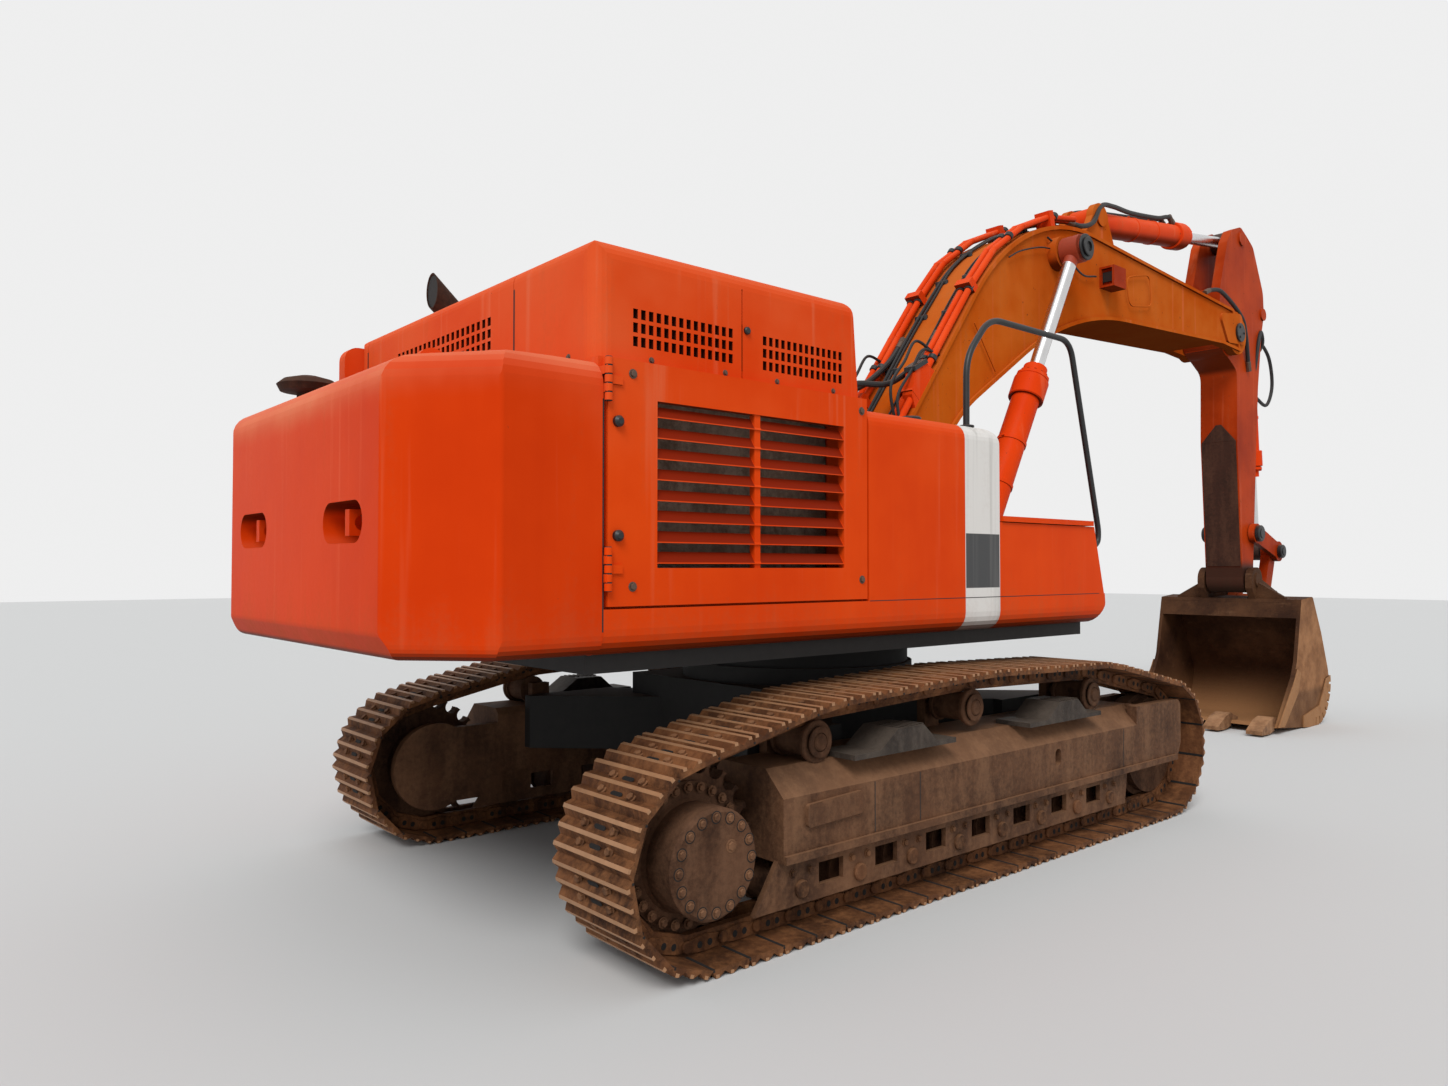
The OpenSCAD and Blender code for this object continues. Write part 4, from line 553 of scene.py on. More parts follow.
mirror = plain("mirror face", rgb(0.7, 0.72, 0.74), 0.06, metal=1.0, grain=0.02, scuff=0.05)
cloth = woven("seat cloth", rgb(0.02, 0.02, 0.022), rgb(0.09, 0.09, 0.095))
window = glass("window glass", rgb(0.55, 0.62, 0.62))
lamp_lens = lens("ribbed lens", rgb(0.5, 0.5, 0.47), rgb(0.75, 0.75, 0.7))

# The frame's nodes by finish; a node that isn't named here is in plain orange paint.
FINISHES = (
    (dark_frame, ("carbody", "slew_ring", "revolving_frame")),
    (frame_mud, ("track_frame_right", "track_frame_left")),
    (shoe_mud, ("track_right", "track_left")),
    (sprocket_mud, ("sprocket_right", "sprocket_left", "idlers", "bottom_rollers", "carrier_rollers")),
    (step_grey, ("steps",)),
    (engine_grey, ("engine",)),
    (core_dust, ("radiator",)),
    (weight_orange, ("counterweight",)),
    (hood_orange, ("hood", "hood_lid")),
    (grille_orange, ("grille_door",)),
    (pipe_rust, ("exhaust", "intake_cap")),
    (striped, ("tank_housing", "sills")),
    (window, ("cab_glass", "cab_door_glass")),
    (trim, ("seat", "controls")),
    (black, ("handrail",)),
    (boom_orange, ("boom",)),
    (arm_orange, ("boom_lamp", "arm", "guide_links", "bucket_link")),
    (cylinder_orange, ("boom_pipes", "boom_barrels", "arm_barrel", "bucket_barrel")),
    (rod_finish("boom rods chrome", BOOM_CYLINDER[1], rgb(0.33, 0.04, 0.01)), ("boom_rods",)),
    (rod_finish("arm rod chrome", ARM_CYLINDER[1], EYE_GREASE), ("arm_rod",)),
    (rod_finish("bucket rod chrome", BUCKET_CYLINDER[1], EYE_GREASE), ("bucket_rod",)),
    (bucket_finish(), ("bucket",)),
    (tooth_steel, ("bucket_teeth",)),
)
FINISH_OF = {node_name: finish for finish, node_names in FINISHES for node_name in node_names}
for node_name, node_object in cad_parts.items():
    node_object.data.materials.clear()
    node_object.data.materials.append(FINISH_OF.get(node_name, orange))


# Shapes.


def turns(count):
    """Angles evenly spaced round a circle."""
    return [2 * math.pi * i / count for i in range(count)]


def rectangle(a0, a1, b0, b1):
    """A rectangle's four corners in turn, as pairs."""
    return (a0, b0), (a1, b0), (a1, b1), (a0, b1)


def square_to(axis):
    """Two directions square to an axis and to each other."""
    axis = axis.normalized()
    first = axis.cross(X if abs(axis.x) < 0.8 else Y).normalized()
    return first, axis.cross(first)


def smooth(points, steps=8):
    """A curve through points, as a closer row of points."""
    ends = [2 * points[0] - points[1], *points, 2 * points[-1] - points[-2]]
    row = []
    for a, b, c, d in zip(ends, ends[1:], ends[2:], ends[3:]):
        bend, twist = 2 * a - 5 * b + 4 * c - d, 3 * b - a - 3 * c + d
        for i in range(steps):
            t = i / steps
            row.append(0.5 * (2 * b + (c - a) * t + bend * t**2 + twist * t**3))
    return [*row, points[-1]]


def bent(points, r, steps=7):
    """Straight runs through points, with each corner rounded off."""
    row = [points[0]]
    for before, p, after in zip(points, points[1:], points[2:]):
        a, b = before - p, after - p
        reach = min(r, a.length * 0.48, b.length * 0.48)
        first, last = p + a.normalized() * reach, p + b.normalized() * reach
        for i in range(steps + 1):
            t = i / steps
            row.append(first * (1 - t) ** 2 + p * 2 * t * (1 - t) + last * t**2)
    return [*row, points[-1]]


def run_length(row):
    return sum((q - p).length for p, q in zip(row, row[1:]))


class Form:
    """Closed shapes gathered into one mesh, in the row frame."""

    SHARP = math.radians(34)

    def __init__(self):
        self.bm = bmesh.new()

    def loft(self, rings):
        """A skin over a row of rings, with both ends shut."""
        rows = [[self.bm.verts.new(p) for p in ring] for ring in rings]
        count = len(rows[0])
        for a, b in zip(rows, rows[1:]):
            for i in range(count):
                self.bm.faces.new((a[i], a[i - 1], b[i - 1], b[i]))
        self.bm.faces.new(rows[0])
        self.bm.faces.new(rows[-1])

    def slab(self, outline, push, edge=0.004):
        """A plate from its outline, pushed out and with its far edge broken."""
        middle = sum(outline, Vector()) / len(outline)
        deep = push.normalized()
        self.loft([
            outline,
            [p + push - edge * deep for p in outline],
            [p + push + edge * (middle - p).normalized() for p in outline],
        ])

    def brick(self, low, high, edge=0.005):
        """A block between two corners, with broken edges all round."""
        x0, y0, z0 = low
        x1, y1, z1 = high

        def ring(z, in_):
            left, right, front, back = x0 + in_, x1 - in_, y0 + in_, y1 - in_
            return [Vector(p) for p in (
                (left, y0 + edge, z), (x0 + edge, front, z), (x1 - edge, front, z), (right, y0 + edge, z),
                (right, y1 - edge, z), (x1 - edge, back, z), (x0 + edge, back, z), (left, y1 - edge, z),
            )]

        self.loft([ring(z0, edge), ring(z0 + edge, 0), ring(z1 - edge, 0), ring(z1, edge)])

    def disc(self, centre, axis, r, h, sides=24, edge=0.004):
        """A round plate with its far edge broken."""
        a, b = square_to(axis)

        def ring(radius, out):
            return [centre + axis * out + radius * (a * math.cos(t) + b * math.sin(t)) for t in turns(sides)]

        self.loft([ring(r, 0), ring(r, h - edge), ring(r - edge, h)])

    def bolt(self, centre, axis, r=0.016, h=0.014):
        """A hexagon head on a round washer."""
        self.disc(centre, axis, r * 1.45, h * 0.25, 12, 0.001)
        self.disc(centre + axis * h * 0.2, axis, r, h * 0.8, 6, r * 0.15)

    def bolt_ring(self, centre, axis, radius, count, r, h, turn=0.0):
        for spot in round_spots(centre, axis, radius, count, turn):
            self.bolt(spot, axis, r, h)

    def hoop(self, centre, axis, r0, r1, h, sides=32, edge=0.004):
        """A ring with a bore r0."""
        a, b = square_to(axis)
        profile = [(r0, 0), (r1 - edge, 0), (r1, edge), (r1, h - edge), (r1 - edge, h), (r0, h)]
        rows = []
        for t in turns(sides):
            side = a * math.cos(t) + b * math.sin(t)
            rows.append([self.bm.verts.new(centre + side * r + axis * out) for r, out in profile])
        for i in range(sides):
            for j in range(len(profile)):
                self.bm.faces.new((rows[i - 1][j - 1], rows[i - 1][j], rows[i][j], rows[i][j - 1]))

    def pipe(self, points, r, sides=10):
        """A round bar along a row of points."""
        a, _ = square_to(points[1] - points[0])
        rings = []
        for i, p in enumerate(points):
            ahead = (points[min(i + 1, len(points) - 1)] - points[max(i - 1, 0)]).normalized()
            a = (a - ahead * a.dot(ahead)).normalized()
            b = ahead.cross(a)
            rings.append([p + r * (a * math.cos(t) + b * math.sin(t)) for t in turns(sides)])
        self.loft(rings)

    def finish(self, name, finish):
        """The gathered shapes as one object, smooth but for their sharp edges."""
        bmesh.ops.recalc_face_normals(self.bm, faces=self.bm.faces)
        mesh = bpy.data.meshes.new(name)
        self.bm.to_mesh(mesh)
        self.bm.free()
        for face in mesh.polygons:
            face.use_smooth = True
        mesh.set_sharp_from_angle(angle=self.SHARP)
        mesh.materials.append(finish)
        made = bpy.data.objects.new(name, mesh)
        bpy.context.scene.collection.objects.link(made)
        return made

    def on(self, name, finish, body):
        """The finished object, riding on a body."""
        made = self.finish(name, finish)
        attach(made, body)
        return made


def round_spots(centre, axis, radius, count, turn=0.0):
    """Places evenly spaced round an axis."""
    a, b = square_to(axis)
    return [centre + radius * (a * math.cos(turn + t) + b * math.sin(turn + t)) for t in turns(count)]


# Hoses, which cross the joints.

HOSE_R = 0.024
# How many points in from a hose's end its direction is taken.
FITTING_REACH = 3


def hose_pair(name, points, body_a, body_b, start, end):
    """One hose on each side of the machine's middle, given by its left one."""
    for side, sign in SIDES:
        flip = Vector((1, sign, 1))
        row = smooth([p * flip for p in points])
        form = Form()
        form.pipe(row, HOSE_R)
        made = form.finish(f"{name}_{side}", rubber)
        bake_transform(made)
        run_length(row)
        hose_fitting(f"{name}_{side}_base_fitting", row[0], row[FITTING_REACH], body_a)
        hose_fitting(f"{name}_{side}_end_fitting", row[-1], row[-1 - FITTING_REACH], body_b)


def hose_fitting(name, end, inner, body):
    """A hexagon nut and a crimped sleeve at a hose's end."""
    form = Form()
    axis = (inner - end).normalized()
    form.disc(end, axis, HOSE_R * 1.35, 0.05, 6, 0.005)
    form.disc(end + axis * 0.048, axis, HOSE_R * 1.2, 0.07, 16, 0.004)
    form.on(name, bolt_steel, body)


def hoses():
    for y, tag in ((0.225, "inner"), (0.3, "outer")):
        hose_pair(
            f"foot_hose_{tag}",
            [at(0.04, y, 1.462), at(-0.02, y, 1.72), at(0.02, y, 2.0), on_boom(-0.12, 0.3, y),
             on_boom(0.14, 0.415, y), on_boom(0.43, 0.565, y)],
            "upper", "boom", at(-0.02, 0, 1.75), on_boom(0.1, 0.4, 0),
        )
    hose_pair(
        "foot_hose_upper",
        [at(-0.1, 0.15, 1.462), at(-0.16, 0.15, 2.2), at(-0.02, 0.16, 2.86), at(0.36, 0.18, 3.2),
         on_boom(0.86, 1.02, 0.18), on_boom(1.3, 1.1, 0.18), on_boom(1.62, 1.255, 0.18)],
        "upper", "boom", at(-0.16, 0, 2.0), on_boom(0.9, 1.0, 0),
    )
    hose_pair(
        "arm_cylinder_hose",
        [on_boom(3.9, 1.802, 0.225), on_boom(4.15, 1.72, 0.225), on_boom(4.42, 1.72, 0.21),
         on_line(ARM_CYLINDER, 0.06, 0.13, 0.17), on_line(ARM_CYLINDER, 0.4, 0.165, 0.12),
         on_line(ARM_CYLINDER, 0.9, 0.155, 0.06), on_line(ARM_CYLINDER, 1.5, 0.155, 0.05),
         on_line(ARM_CYLINDER, 1.78, 0.185, 0.05), on_line(ARM_CYLINDER, 1.88, 0.12, 0.05)],
        "boom", "arm_barrel", on_boom(4.2, 1.72, 0), on_line(ARM_CYLINDER, 0.05, 0.13, 0),
    )
    hose_pair(
        "arm_hose",
        [on_boom(6.45, 0.6, 0.28), on_boom(6.62, 0.6, 0.29), on_boom(6.85, 0.52, 0.31),
         on_arm(-0.2, 0.16, 0.31), on_arm(0.02, 0.32, 0.285), on_arm(0.28, 0.42, 0.25),
         on_arm(0.45, 0.46, 0.235)],
        "boom", "arm", on_boom(6.7, 0.55, 0), on_arm(0.0, 0.3, 0),
    )
    hose_pair(
        "bucket_cylinder_hose",
        [on_arm(0.62, 0.7, 0.16), on_arm(0.4, 0.74, 0.2), on_arm(0.12, 0.82, 0.23),
         on_arm(-0.02, 0.95, 0.22), on_line(BUCKET_CYLINDER, 0.36, 0.02, 0.19),
         on_line(BUCKET_CYLINDER, 0.5, 0.0, 0.1)],
        "arm", "bucket_barrel", on_arm(0.2, 0.8, 0), on_line(BUCKET_CYLINDER, 0.3, 0, 0),
    )


# Tracks: the joint line that the shoes follow, as in the frame, then their hardware.

AXLE_X, AXLE_Z, PIN_LINE_R = 2.235, 0.503, 0.417
CARRIER_LINE_R = 0.15
CARRIERS = [(1.32, 0.965, CARRIER_LINE_R), (-0.07, 1.0, CARRIER_LINE_R), (-1.42, 0.945, CARRIER_LINE_R)]
WHEELS = [(-AXLE_X, AXLE_Z, PIN_LINE_R), (AXLE_X, AXLE_Z, PIN_LINE_R), *CARRIERS]
SHOE_COUNT = 53
SHOE_W = 0.6
TRACK_Y = HALF_W - SHOE_W / 2

# A shoe's places: along it in shares of its length, out from the joint line, and across in metres.
GROUSERS = (0.1, 0.5, 0.9)
GROUSER_HALF, GROUSER_TIP = 0.0465, 0.086
SHOE_INSIDE, SHOE_FACE = 0.046, 0.068
SHOE_BOLT_ROWS, SHOE_BOLT_Y = (0.3, 0.7), 0.115
SHOE_HOLE_HALF_U, SHOE_HOLE_HALF_Y = 0.075, 0.045
SHOE_GAP_HALF_U, GAP_NEAR_Y = 0.04, 0.1
LINK_FACE_Y, LINK_T, LINK_HALF_U, LINK_HALF_V = 0.0905, 0.012, 0.56, 0.04
LINK_WINDOWS, WINDOW_HALF_U, WINDOW_HALF_V = (0.36, 0.64), 0.07, 0.017
# How far thin dark pieces stand proud of the face that they are laid on, and their broken edge.
MARK_T, MARK_EDGE = 0.0012, 0.0004


def track_pins():
    """The joints between the shoes, evenly spaced along a belt round the wheels."""
    count = len(WHEELS)

    def leave(i):
        (x0, z0, r0), (x1, z1, r1) = WHEELS[i % count], WHEELS[(i + 1) % count]
        span = math.hypot(x1 - x0, z1 - z0)
        return math.atan2(z1 - z0, x1 - x0) - math.pi / 2 + math.asin((r0 - r1) / span)

    pieces = []
    for i in range(count):
        x0, z0, r0 = WHEELS[i]
        x1, z1, r1 = WHEELS[(i + 1) % count]
        wrap = (leave(i) - leave(i - 1)) % (2 * math.pi)
        span = math.hypot(x1 - x0, z1 - z0)
        pieces.append((x0, z0, r0, leave(i - 1), wrap, leave(i), math.sqrt(span**2 - (r0 - r1) ** 2)))
    pitch = sum(r * wrap + straight for _, _, r, _, wrap, _, straight in pieces) / SHOE_COUNT
    pins = []
    for k in range(SHOE_COUNT):
        s = (k + 0.5) * pitch
        for x, z, r, first, wrap, last, straight in pieces:
            if s <= r * wrap + straight:
                break
            s -= r * wrap + straight
        if s < r * wrap:
            turn = first + s / r
            pins.append((x + r * math.cos(turn), z + r * math.sin(turn)))
        else:
            s -= r * wrap
            pins.append((
                x + r * math.cos(last) - s * math.sin(last),
                z + r * math.sin(last) + s * math.cos(last),
            ))
    return pins


PINS = track_pins()


class Shoe:
    """One shoe of a track, and the link under it."""

    def __init__(self, k, y_mid):
        (x0, z0), (x1, z1) = PINS[k], PINS[(k + 1) % SHOE_COUNT]
        self.start = at(x0, 0, z0)
        run = at(x1, 0, z1) - self.start
        self.ahead = run.normalized()
        self.span = run.length
        self.out = Vector((self.ahead.z, 0, -self.ahead.x))
        self.grounded = self.out.z < -0.9
        self.y_mid = y_mid

    def point(self, u, v, y):
        return self.start + self.ahead * u * self.span + self.out * v + Y * (self.y_mid + y)


def shoe_bolts(shoes):
    form = Form()
    for shoe in shoes:
        if shoe.grounded:
            continue
        for u in SHOE_BOLT_ROWS:
            for y in (-SHOE_BOLT_Y, SHOE_BOLT_Y):
                form.bolt(shoe.point(u, SHOE_FACE, y), shoe.out, 0.02, 0.018)
    return form


def grouser_edges(shoes):
    """The bars' worn tips, a little nicked."""
    form = Form()
    end_y = -SHOE_W / 2 - MARK_T
    for shoe in shoes:
        tip = GROUSER_TIP + (-0.001 if shoe.grounded else MARK_T)
        for u in GROUSERS:
            nick = 0.004 * chance.random()
            corners = (
                (u - GROUSER_HALF - 0.0005, tip - 0.014 - nick),
                (u + GROUSER_HALF + 0.0005, tip - 0.012 - nick),
                (u + GROUSER_HALF, tip),
                (u - GROUSER_HALF, tip),
            )
            form.slab([shoe.point(a, v, end_y) for a, v in corners], Y * (SHOE_W + 2 * MARK_T), 0.001)
    return form


def link_plates(shoes):
    """The links' oval side plates, and the heads of their pins."""
    form = Form()
    for shoe in shoes:
        for sign in (-1, 1):
            face = sign * LINK_FACE_Y
            oval = [
                shoe.point(0.5 + LINK_HALF_U * math.cos(t), 0.004 + LINK_HALF_V * math.sin(t), face)
                for t in turns(16)
            ]
            form.slab(oval, Y * sign * LINK_T, 0.004)
            form.disc(shoe.point(0.0, 0.0, face + 0.9 * sign * LINK_T), Y * sign, 0.03, 0.012, 12, 0.004)
    return form


def shoe_gaps(shoes):
    """The dark joints between the plates, on their inner faces and at their ends."""
    form = Form()
    for shoe in shoes:
        for sign in (-1, 1):
            near, far = sorted((sign * GAP_NEAR_Y, sign * (SHOE_W / 2 - 0.002)))
            inner = rectangle(-SHOE_GAP_HALF_U, SHOE_GAP_HALF_U, near, far)
            form.slab([shoe.point(u, SHOE_INSIDE, y) for u, y in inner], -shoe.out * MARK_T, MARK_EDGE)
            end = sign * (SHOE_W / 2 + 0.0002)
            groove = ((-0.022, 0.0455), (0.022, 0.0455), (0.03, 0.056), (-0.03, 0.056))
            form.slab([shoe.point(u, v, end) for u, v in groove], Y * sign * MARK_T, MARK_EDGE)
    return form


def shoe_holes(shoes):
    """The dark openings through the plates, between their bolts, and in the links' sides."""
    form = Form()
    for shoe in shoes:
        if not shoe.grounded:
            for middle in SHOE_BOLT_ROWS:
                form.slab([
                    shoe.point(
                        middle + SHOE_HOLE_HALF_U * math.sin(t), SHOE_FACE, SHOE_HOLE_HALF_Y * math.cos(t)
                    )
                    for t in turns(16)
                ], shoe.out * 0.0015, 0.0005)
        for sign in (-1, 1):
            face = sign * (LINK_FACE_Y + LINK_T)
            for middle in LINK_WINDOWS:
                form.slab([
                    shoe.point(
                        middle + WINDOW_HALF_U * math.cos(t), 0.006 + WINDOW_HALF_V * math.sin(t), face
                    )
                    for t in turns(10)
                ], Y * sign * MARK_T, 0.0005)
    return form


def track_dress(side, sign):
    shoes = [Shoe(k, sign * TRACK_Y) for k in range(SHOE_COUNT)]
    for name, make, finish in (
        ("shoe_bolts", shoe_bolts, mud),
        ("grouser_edges", grouser_edges, worn_edge),
        ("link_plates", link_plates, shoe_mud),
        ("shoe_gaps", shoe_gaps, shadow),
        ("shoe_holes", shoe_holes, shadow),
    ):
        make(shoes).on(f"{name}_{side}", finish, "undercarriage")


# The final drive's bolt circles, and places on a track frame's outer side.
COVER_BOLTS, COVER_BOLT_CIRCLE = 16, 0.215
FLANGE_BOLTS, FLANGE_BOLT_CIRCLE, FLANGE_IN = 26, 0.315, 0.215
FRAME_SEAMS, SEAM_HALF, SEAM_LOW, SEAM_HIGH = (-1.1, -0.72, 1.55), 0.003, 0.45, 0.715
FRAME_OUT, GUARD_OUT = 0.25, 0.2125
ROLLER_COUNT, FIRST_ROLLER_X, LAST_ROLLER_X = 8, -1.615, 1.415
ROLLER_Z, ROLLER_BOLT_Z, ROLLER_BOLT_X = 0.25, 0.335, 0.06


def final_drive_dress(side, sign):
    out = Y * sign
    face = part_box(f"sprocket_{side}")[1 if sign > 0 else 0][1]
    centre = at(-AXLE_X, face, AXLE_Z)
    flange = at(-AXLE_X, sign * (HALF_W - FLANGE_IN), AXLE_Z)
    form = Form()
    form.bolt_ring(centre, out, COVER_BOLT_CIRCLE, COVER_BOLTS, 0.017, 0.013)
    form.bolt(centre + Vector((0.09, 0, 0.07)), out, 0.022, 0.01)
    form.bolt_ring(flange, out, FLANGE_BOLT_CIRCLE, FLANGE_BOLTS, 0.018, 0.018)
    form.on(f"final_drive_bolts_{side}", frame_mud, "undercarriage")

    form = Form()
    for spot in round_spots(centre, out, COVER_BOLT_CIRCLE, COVER_BOLTS):
        form.hoop(spot, out, 0.0245, 0.0295, 0.0015, 20, 0.0005)
    form.on(f"final_drive_recesses_{side}", shadow, "undercarriage")


def carrier_caps(side, sign):
    out = Y * sign
    end = sign * max(abs(corner[1]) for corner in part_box("carrier_rollers"))
    form = Form()
    for x, z, _ in CARRIERS:
        centre = at(x, end, z)
        form.hoop(centre - out * 0.04, out, 0.08, 0.112, 0.03, 36, 0.006)
        form.hoop(centre, out, 0.05, 0.082, 0.012, 32, 0.004)
        form.disc(centre, out, 0.046, 0.02, 24, 0.008)
    form.on(f"carrier_caps_{side}", sprocket_mud, "undercarriage")


def frame_seams(side, sign):
    y = sign * (TRACK_Y + FRAME_OUT)
    form = Form()
    for x in FRAME_SEAMS:
        corners = rectangle(x - SEAM_HALF, x + SEAM_HALF, SEAM_LOW, SEAM_HIGH)
        form.slab([at(a, y, z) for a, z in corners], Y * sign * 0.001, MARK_EDGE)
    form.on(f"frame_seams_{side}", dark_frame, "undercarriage")


def roller_caps(side, sign):
    """The rollers' shaft ends and their bolts, on the guard's posts."""
    out = Y * sign
    y = sign * (TRACK_Y + GUARD_OUT)
    form = Form()
    for i in range(ROLLER_COUNT):
        x = FIRST_ROLLER_X + (LAST_ROLLER_X - FIRST_ROLLER_X) * i / (ROLLER_COUNT - 1)
        form.disc(at(x, y, ROLLER_Z), out, 0.046, 0.018, 24, 0.007)
        for dx in (-ROLLER_BOLT_X, ROLLER_BOLT_X):
            form.bolt(at(x + dx, y, ROLLER_BOLT_Z), out, 0.016, 0.016)
    form.on(f"roller_caps_{side}", mud, "undercarriage")


# Upper structure.

HOOD_Y = UPPER_Y - 0.075
HOOD_REAR_X = -2.6905
LUG_X, LUG_FOOT_Z, LUG_EYE_RISE, LUG_R, LUG_T = -3.02, 2.75, 0.12, 0.085, 0.05
KNUCKLES, KNUCKLE_PITCH, KNUCKLE_H = 5, 0.04, 0.034
# Panel joints: how far they stand proud, and their broken edge.
JOINT_T, JOINT_EDGE = 0.0008, 0.0003


def hood_bolts():
    form = Form()
    for x in (-2.37, -1.91, -1.55, -1.12):
        for sign in (-1, 1):
            form.bolt(at(x, sign * HOOD_Y, 2.825), Y * sign, 0.011, 0.009)
    for y in (-1.2, -0.85, -0.3, 0.2, 0.7, 1.2):
        form.bolt(at(HOOD_REAR_X, y, 2.83), -X, 0.012, 0.008)
    form.on("hood_bolts", bolt_steel, "upper")


def hood_latch():
    form = Form()
    form.disc(at(-1.765, -HOOD_Y, 3.06), -Y, 0.02, 0.016, 20, 0.006)
    form.on("hood_latch", black, "upper")


def vent_shade_plates():
    """Dark plates behind the hood's side and rear openings: painted shade of the hood's inside."""
    form = Form()
    form.brick(at(-2.53, -HOOD_Y + 0.05, 2.84), at(-0.99, -HOOD_Y + 0.06, 3.1))
    form.on("side_vent_shade", rubber, "upper")
    form = Form()
    form.brick(at(-2.64, -0.48, 2.95), at(-2.63, 0.84, 3.22))
    form.on("rear_vent_shade", rubber, "hood_lid")


def lifting_lugs():
    """Plates with round tops and bushed eyes on the counterweight."""
    form = Form()
    arch = [math.pi * i / 10 for i in range(11)]
    plate = [(-LUG_R, 0.0), (LUG_R, 0.0), (LUG_R, 0.1)]
    plate += [(LUG_R * math.cos(t), LUG_EYE_RISE + LUG_R * math.sin(t)) for t in arch]
    for y in (-0.45, 0.4):
        form.slab([at(LUG_X + dx, y, LUG_FOOT_Z + dz) for dx, dz in plate], Y * LUG_T, 0.006)
        form.hoop(at(LUG_X, y - 0.008, LUG_FOOT_Z + LUG_EYE_RISE), Y, 0.034, 0.06, LUG_T + 0.016)
    form.on("lifting_lugs", orange, "upper")


def grille_door_bolts():
    form = Form()
    for x, z in ((-2.53, 2.73), (-2.53, 1.76), (-0.97, 2.72), (-0.97, 1.78)):
        form.bolt(at(x, -UPPER_Y, z), -Y, 0.016, 0.012)
    form.on("grille_door_bolts", bolt_steel, "grille_door")


def grille_door_bumpers():
    form = Form()
    for z in (1.99, 2.505):
        form.disc(at(-2.615, -UPPER_Y, z), -Y, 0.026, 0.03, 18, 0.012)
    form.on("grille_door_bumpers", black, "grille_door")


def grille_door_hinges():
    """Hinge knuckles, with a dark core that shows between them."""
    barrels, gaps = Form(), Form()
    for z in (1.74, 2.59):
        foot = at(-2.672, -UPPER_Y - 0.014, z)
        gaps.disc(foot, Z, 0.0165, KNUCKLES * KNUCKLE_PITCH, 16, 0.002)
        for i in range(KNUCKLES):
            barrels.disc(foot + Z * (0.003 + i * KNUCKLE_PITCH), Z, 0.0185, KNUCKLE_H, 18, 0.003)
    barrels.on("grille_door_hinges", orange, "grille_door")
    gaps.on("grille_door_hinge_gaps", dark_frame, "grille_door")


def left_door_latches():
    """Round latches, each with a bar to turn it by."""
    form = Form()
    bar = rectangle(-0.02, 0.02, -0.005, 0.005)
    for z in (1.9, 2.35):
        form.disc(at(-1.0, UPPER_Y, z), Y, 0.03, 0.014, 20, 0.006)
        form.slab([at(-1.0 + dx, UPPER_Y + 0.014, z + dz) for dx, dz in bar], Y * 0.008, 0.002)
    form.on("left_door_latches", black, "left_door")


def tank_cap():
    (x0, _, _), (x1, _, top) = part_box("tank_housing")
    centre = Vector(((x0 + x1) / 2 + 0.1, -1.2, top))
    form = Form()
    form.disc(centre, Z, 0.085, 0.02, 28, 0.006)
    form.disc(centre + Z * 0.02, Z, 0.07, 0.035, 12, 0.008)
    form.on("tank_cap", black, "upper")


def handrail():
    """The bent rail from the tank's top to the tool box, on round feet."""
    y = -UPPER_Y + 0.11
    route = [
        (0.16, 2.747), (0.165, 3.2), (0.42, 3.49), (1.42, 3.49), (1.8, 2.12), (1.79, 2.03), (1.594, 1.96),
    ]
    form = Form()
    form.pipe(bent([at(x, y, z) for x, z in route], 0.13), 0.021, 14)
    form.disc(at(0.16, y, 2.746), Z, 0.05, 0.012, 24)
    form.bolt_ring(at(0.16, y, 2.757), Z, 0.035, 3, 0.007, 0.006)
    foot = at(1.6, y, 1.963)
    form.disc(foot, (at(1.79, y, 2.03) - foot).normalized(), 0.045, 0.012, 20)
    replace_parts(form.on("bent_handrail", black, "upper"), "handrail")


def exhaust_stack():
    """A pipe that leans to the rear and is cut off upright, so that its mouth faces backwards."""
    foot = at(-2.33, 0.8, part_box("exhaust")[0][2])
    r, wall, rise, lean = 0.085, 0.007, 0.13, math.radians(48)
    bore = r - wall
    elbow = foot + Z * rise
    mouth_x = foot.x - 0.135
    away = Vector((-math.sin(lean), 0, math.cos(lean)))

    def ring(radius, centre, tilt):
        side = Vector((math.cos(tilt), 0, math.sin(tilt)))
        return [centre + radius * (side * math.cos(t) + Y * math.sin(t)) for t in turns(32)]

    def mouth(radius):
        return [p + away * ((p.x - mouth_x) / math.sin(lean)) for p in ring(radius, elbow, lean)]

    soot = Form()
    soot.loft([
        [p + X * 0.006 for p in mouth(bore - 0.001)],
        ring(bore - 0.001, foot + Z * (rise + 0.002), lean),
    ])
    soot.on("exhaust_soot", dark_frame, "hood_lid")

    form = Form()
    form.loft([
        ring(r, foot, 0),
        ring(r, foot + Z * (rise - 0.05), 0),
        *(ring(r, elbow, lean * i / 6) for i in range(1, 6)),
        mouth(r),
        mouth(bore),
        ring(bore, elbow, lean),
    ])
    form.hoop(foot, Z, r - 0.002, r + 0.012, 0.03)
    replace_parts(form.on("exhaust_stack", pipe_rust, "hood_lid"), "exhaust")


def panel_seams():
    """The dark joints between the outer panels."""
    form = Form()

    def side_strip(out, corners):
        form.slab([at(x, 0, z) + out * UPPER_Y for x, z in corners], out * JOINT_T, JOINT_EDGE)

    side_strip(-Y, rectangle(-0.905, 1.6, 1.658, 1.6625))
    for out in (-Y, Y):
        side_strip(out, rectangle(-2.6945, -2.6875, 1.56, 2.6))
    for start in (-0.686, 1.268):
        corners = rectangle(start, start + 0.012, 2.8, 3.26)
        form.slab([at(HOOD_REAR_X, y, z) for y, z in corners], -X * JOINT_T, JOINT_EDGE)
    form.on("panel_seams", dark_frame, "upper")


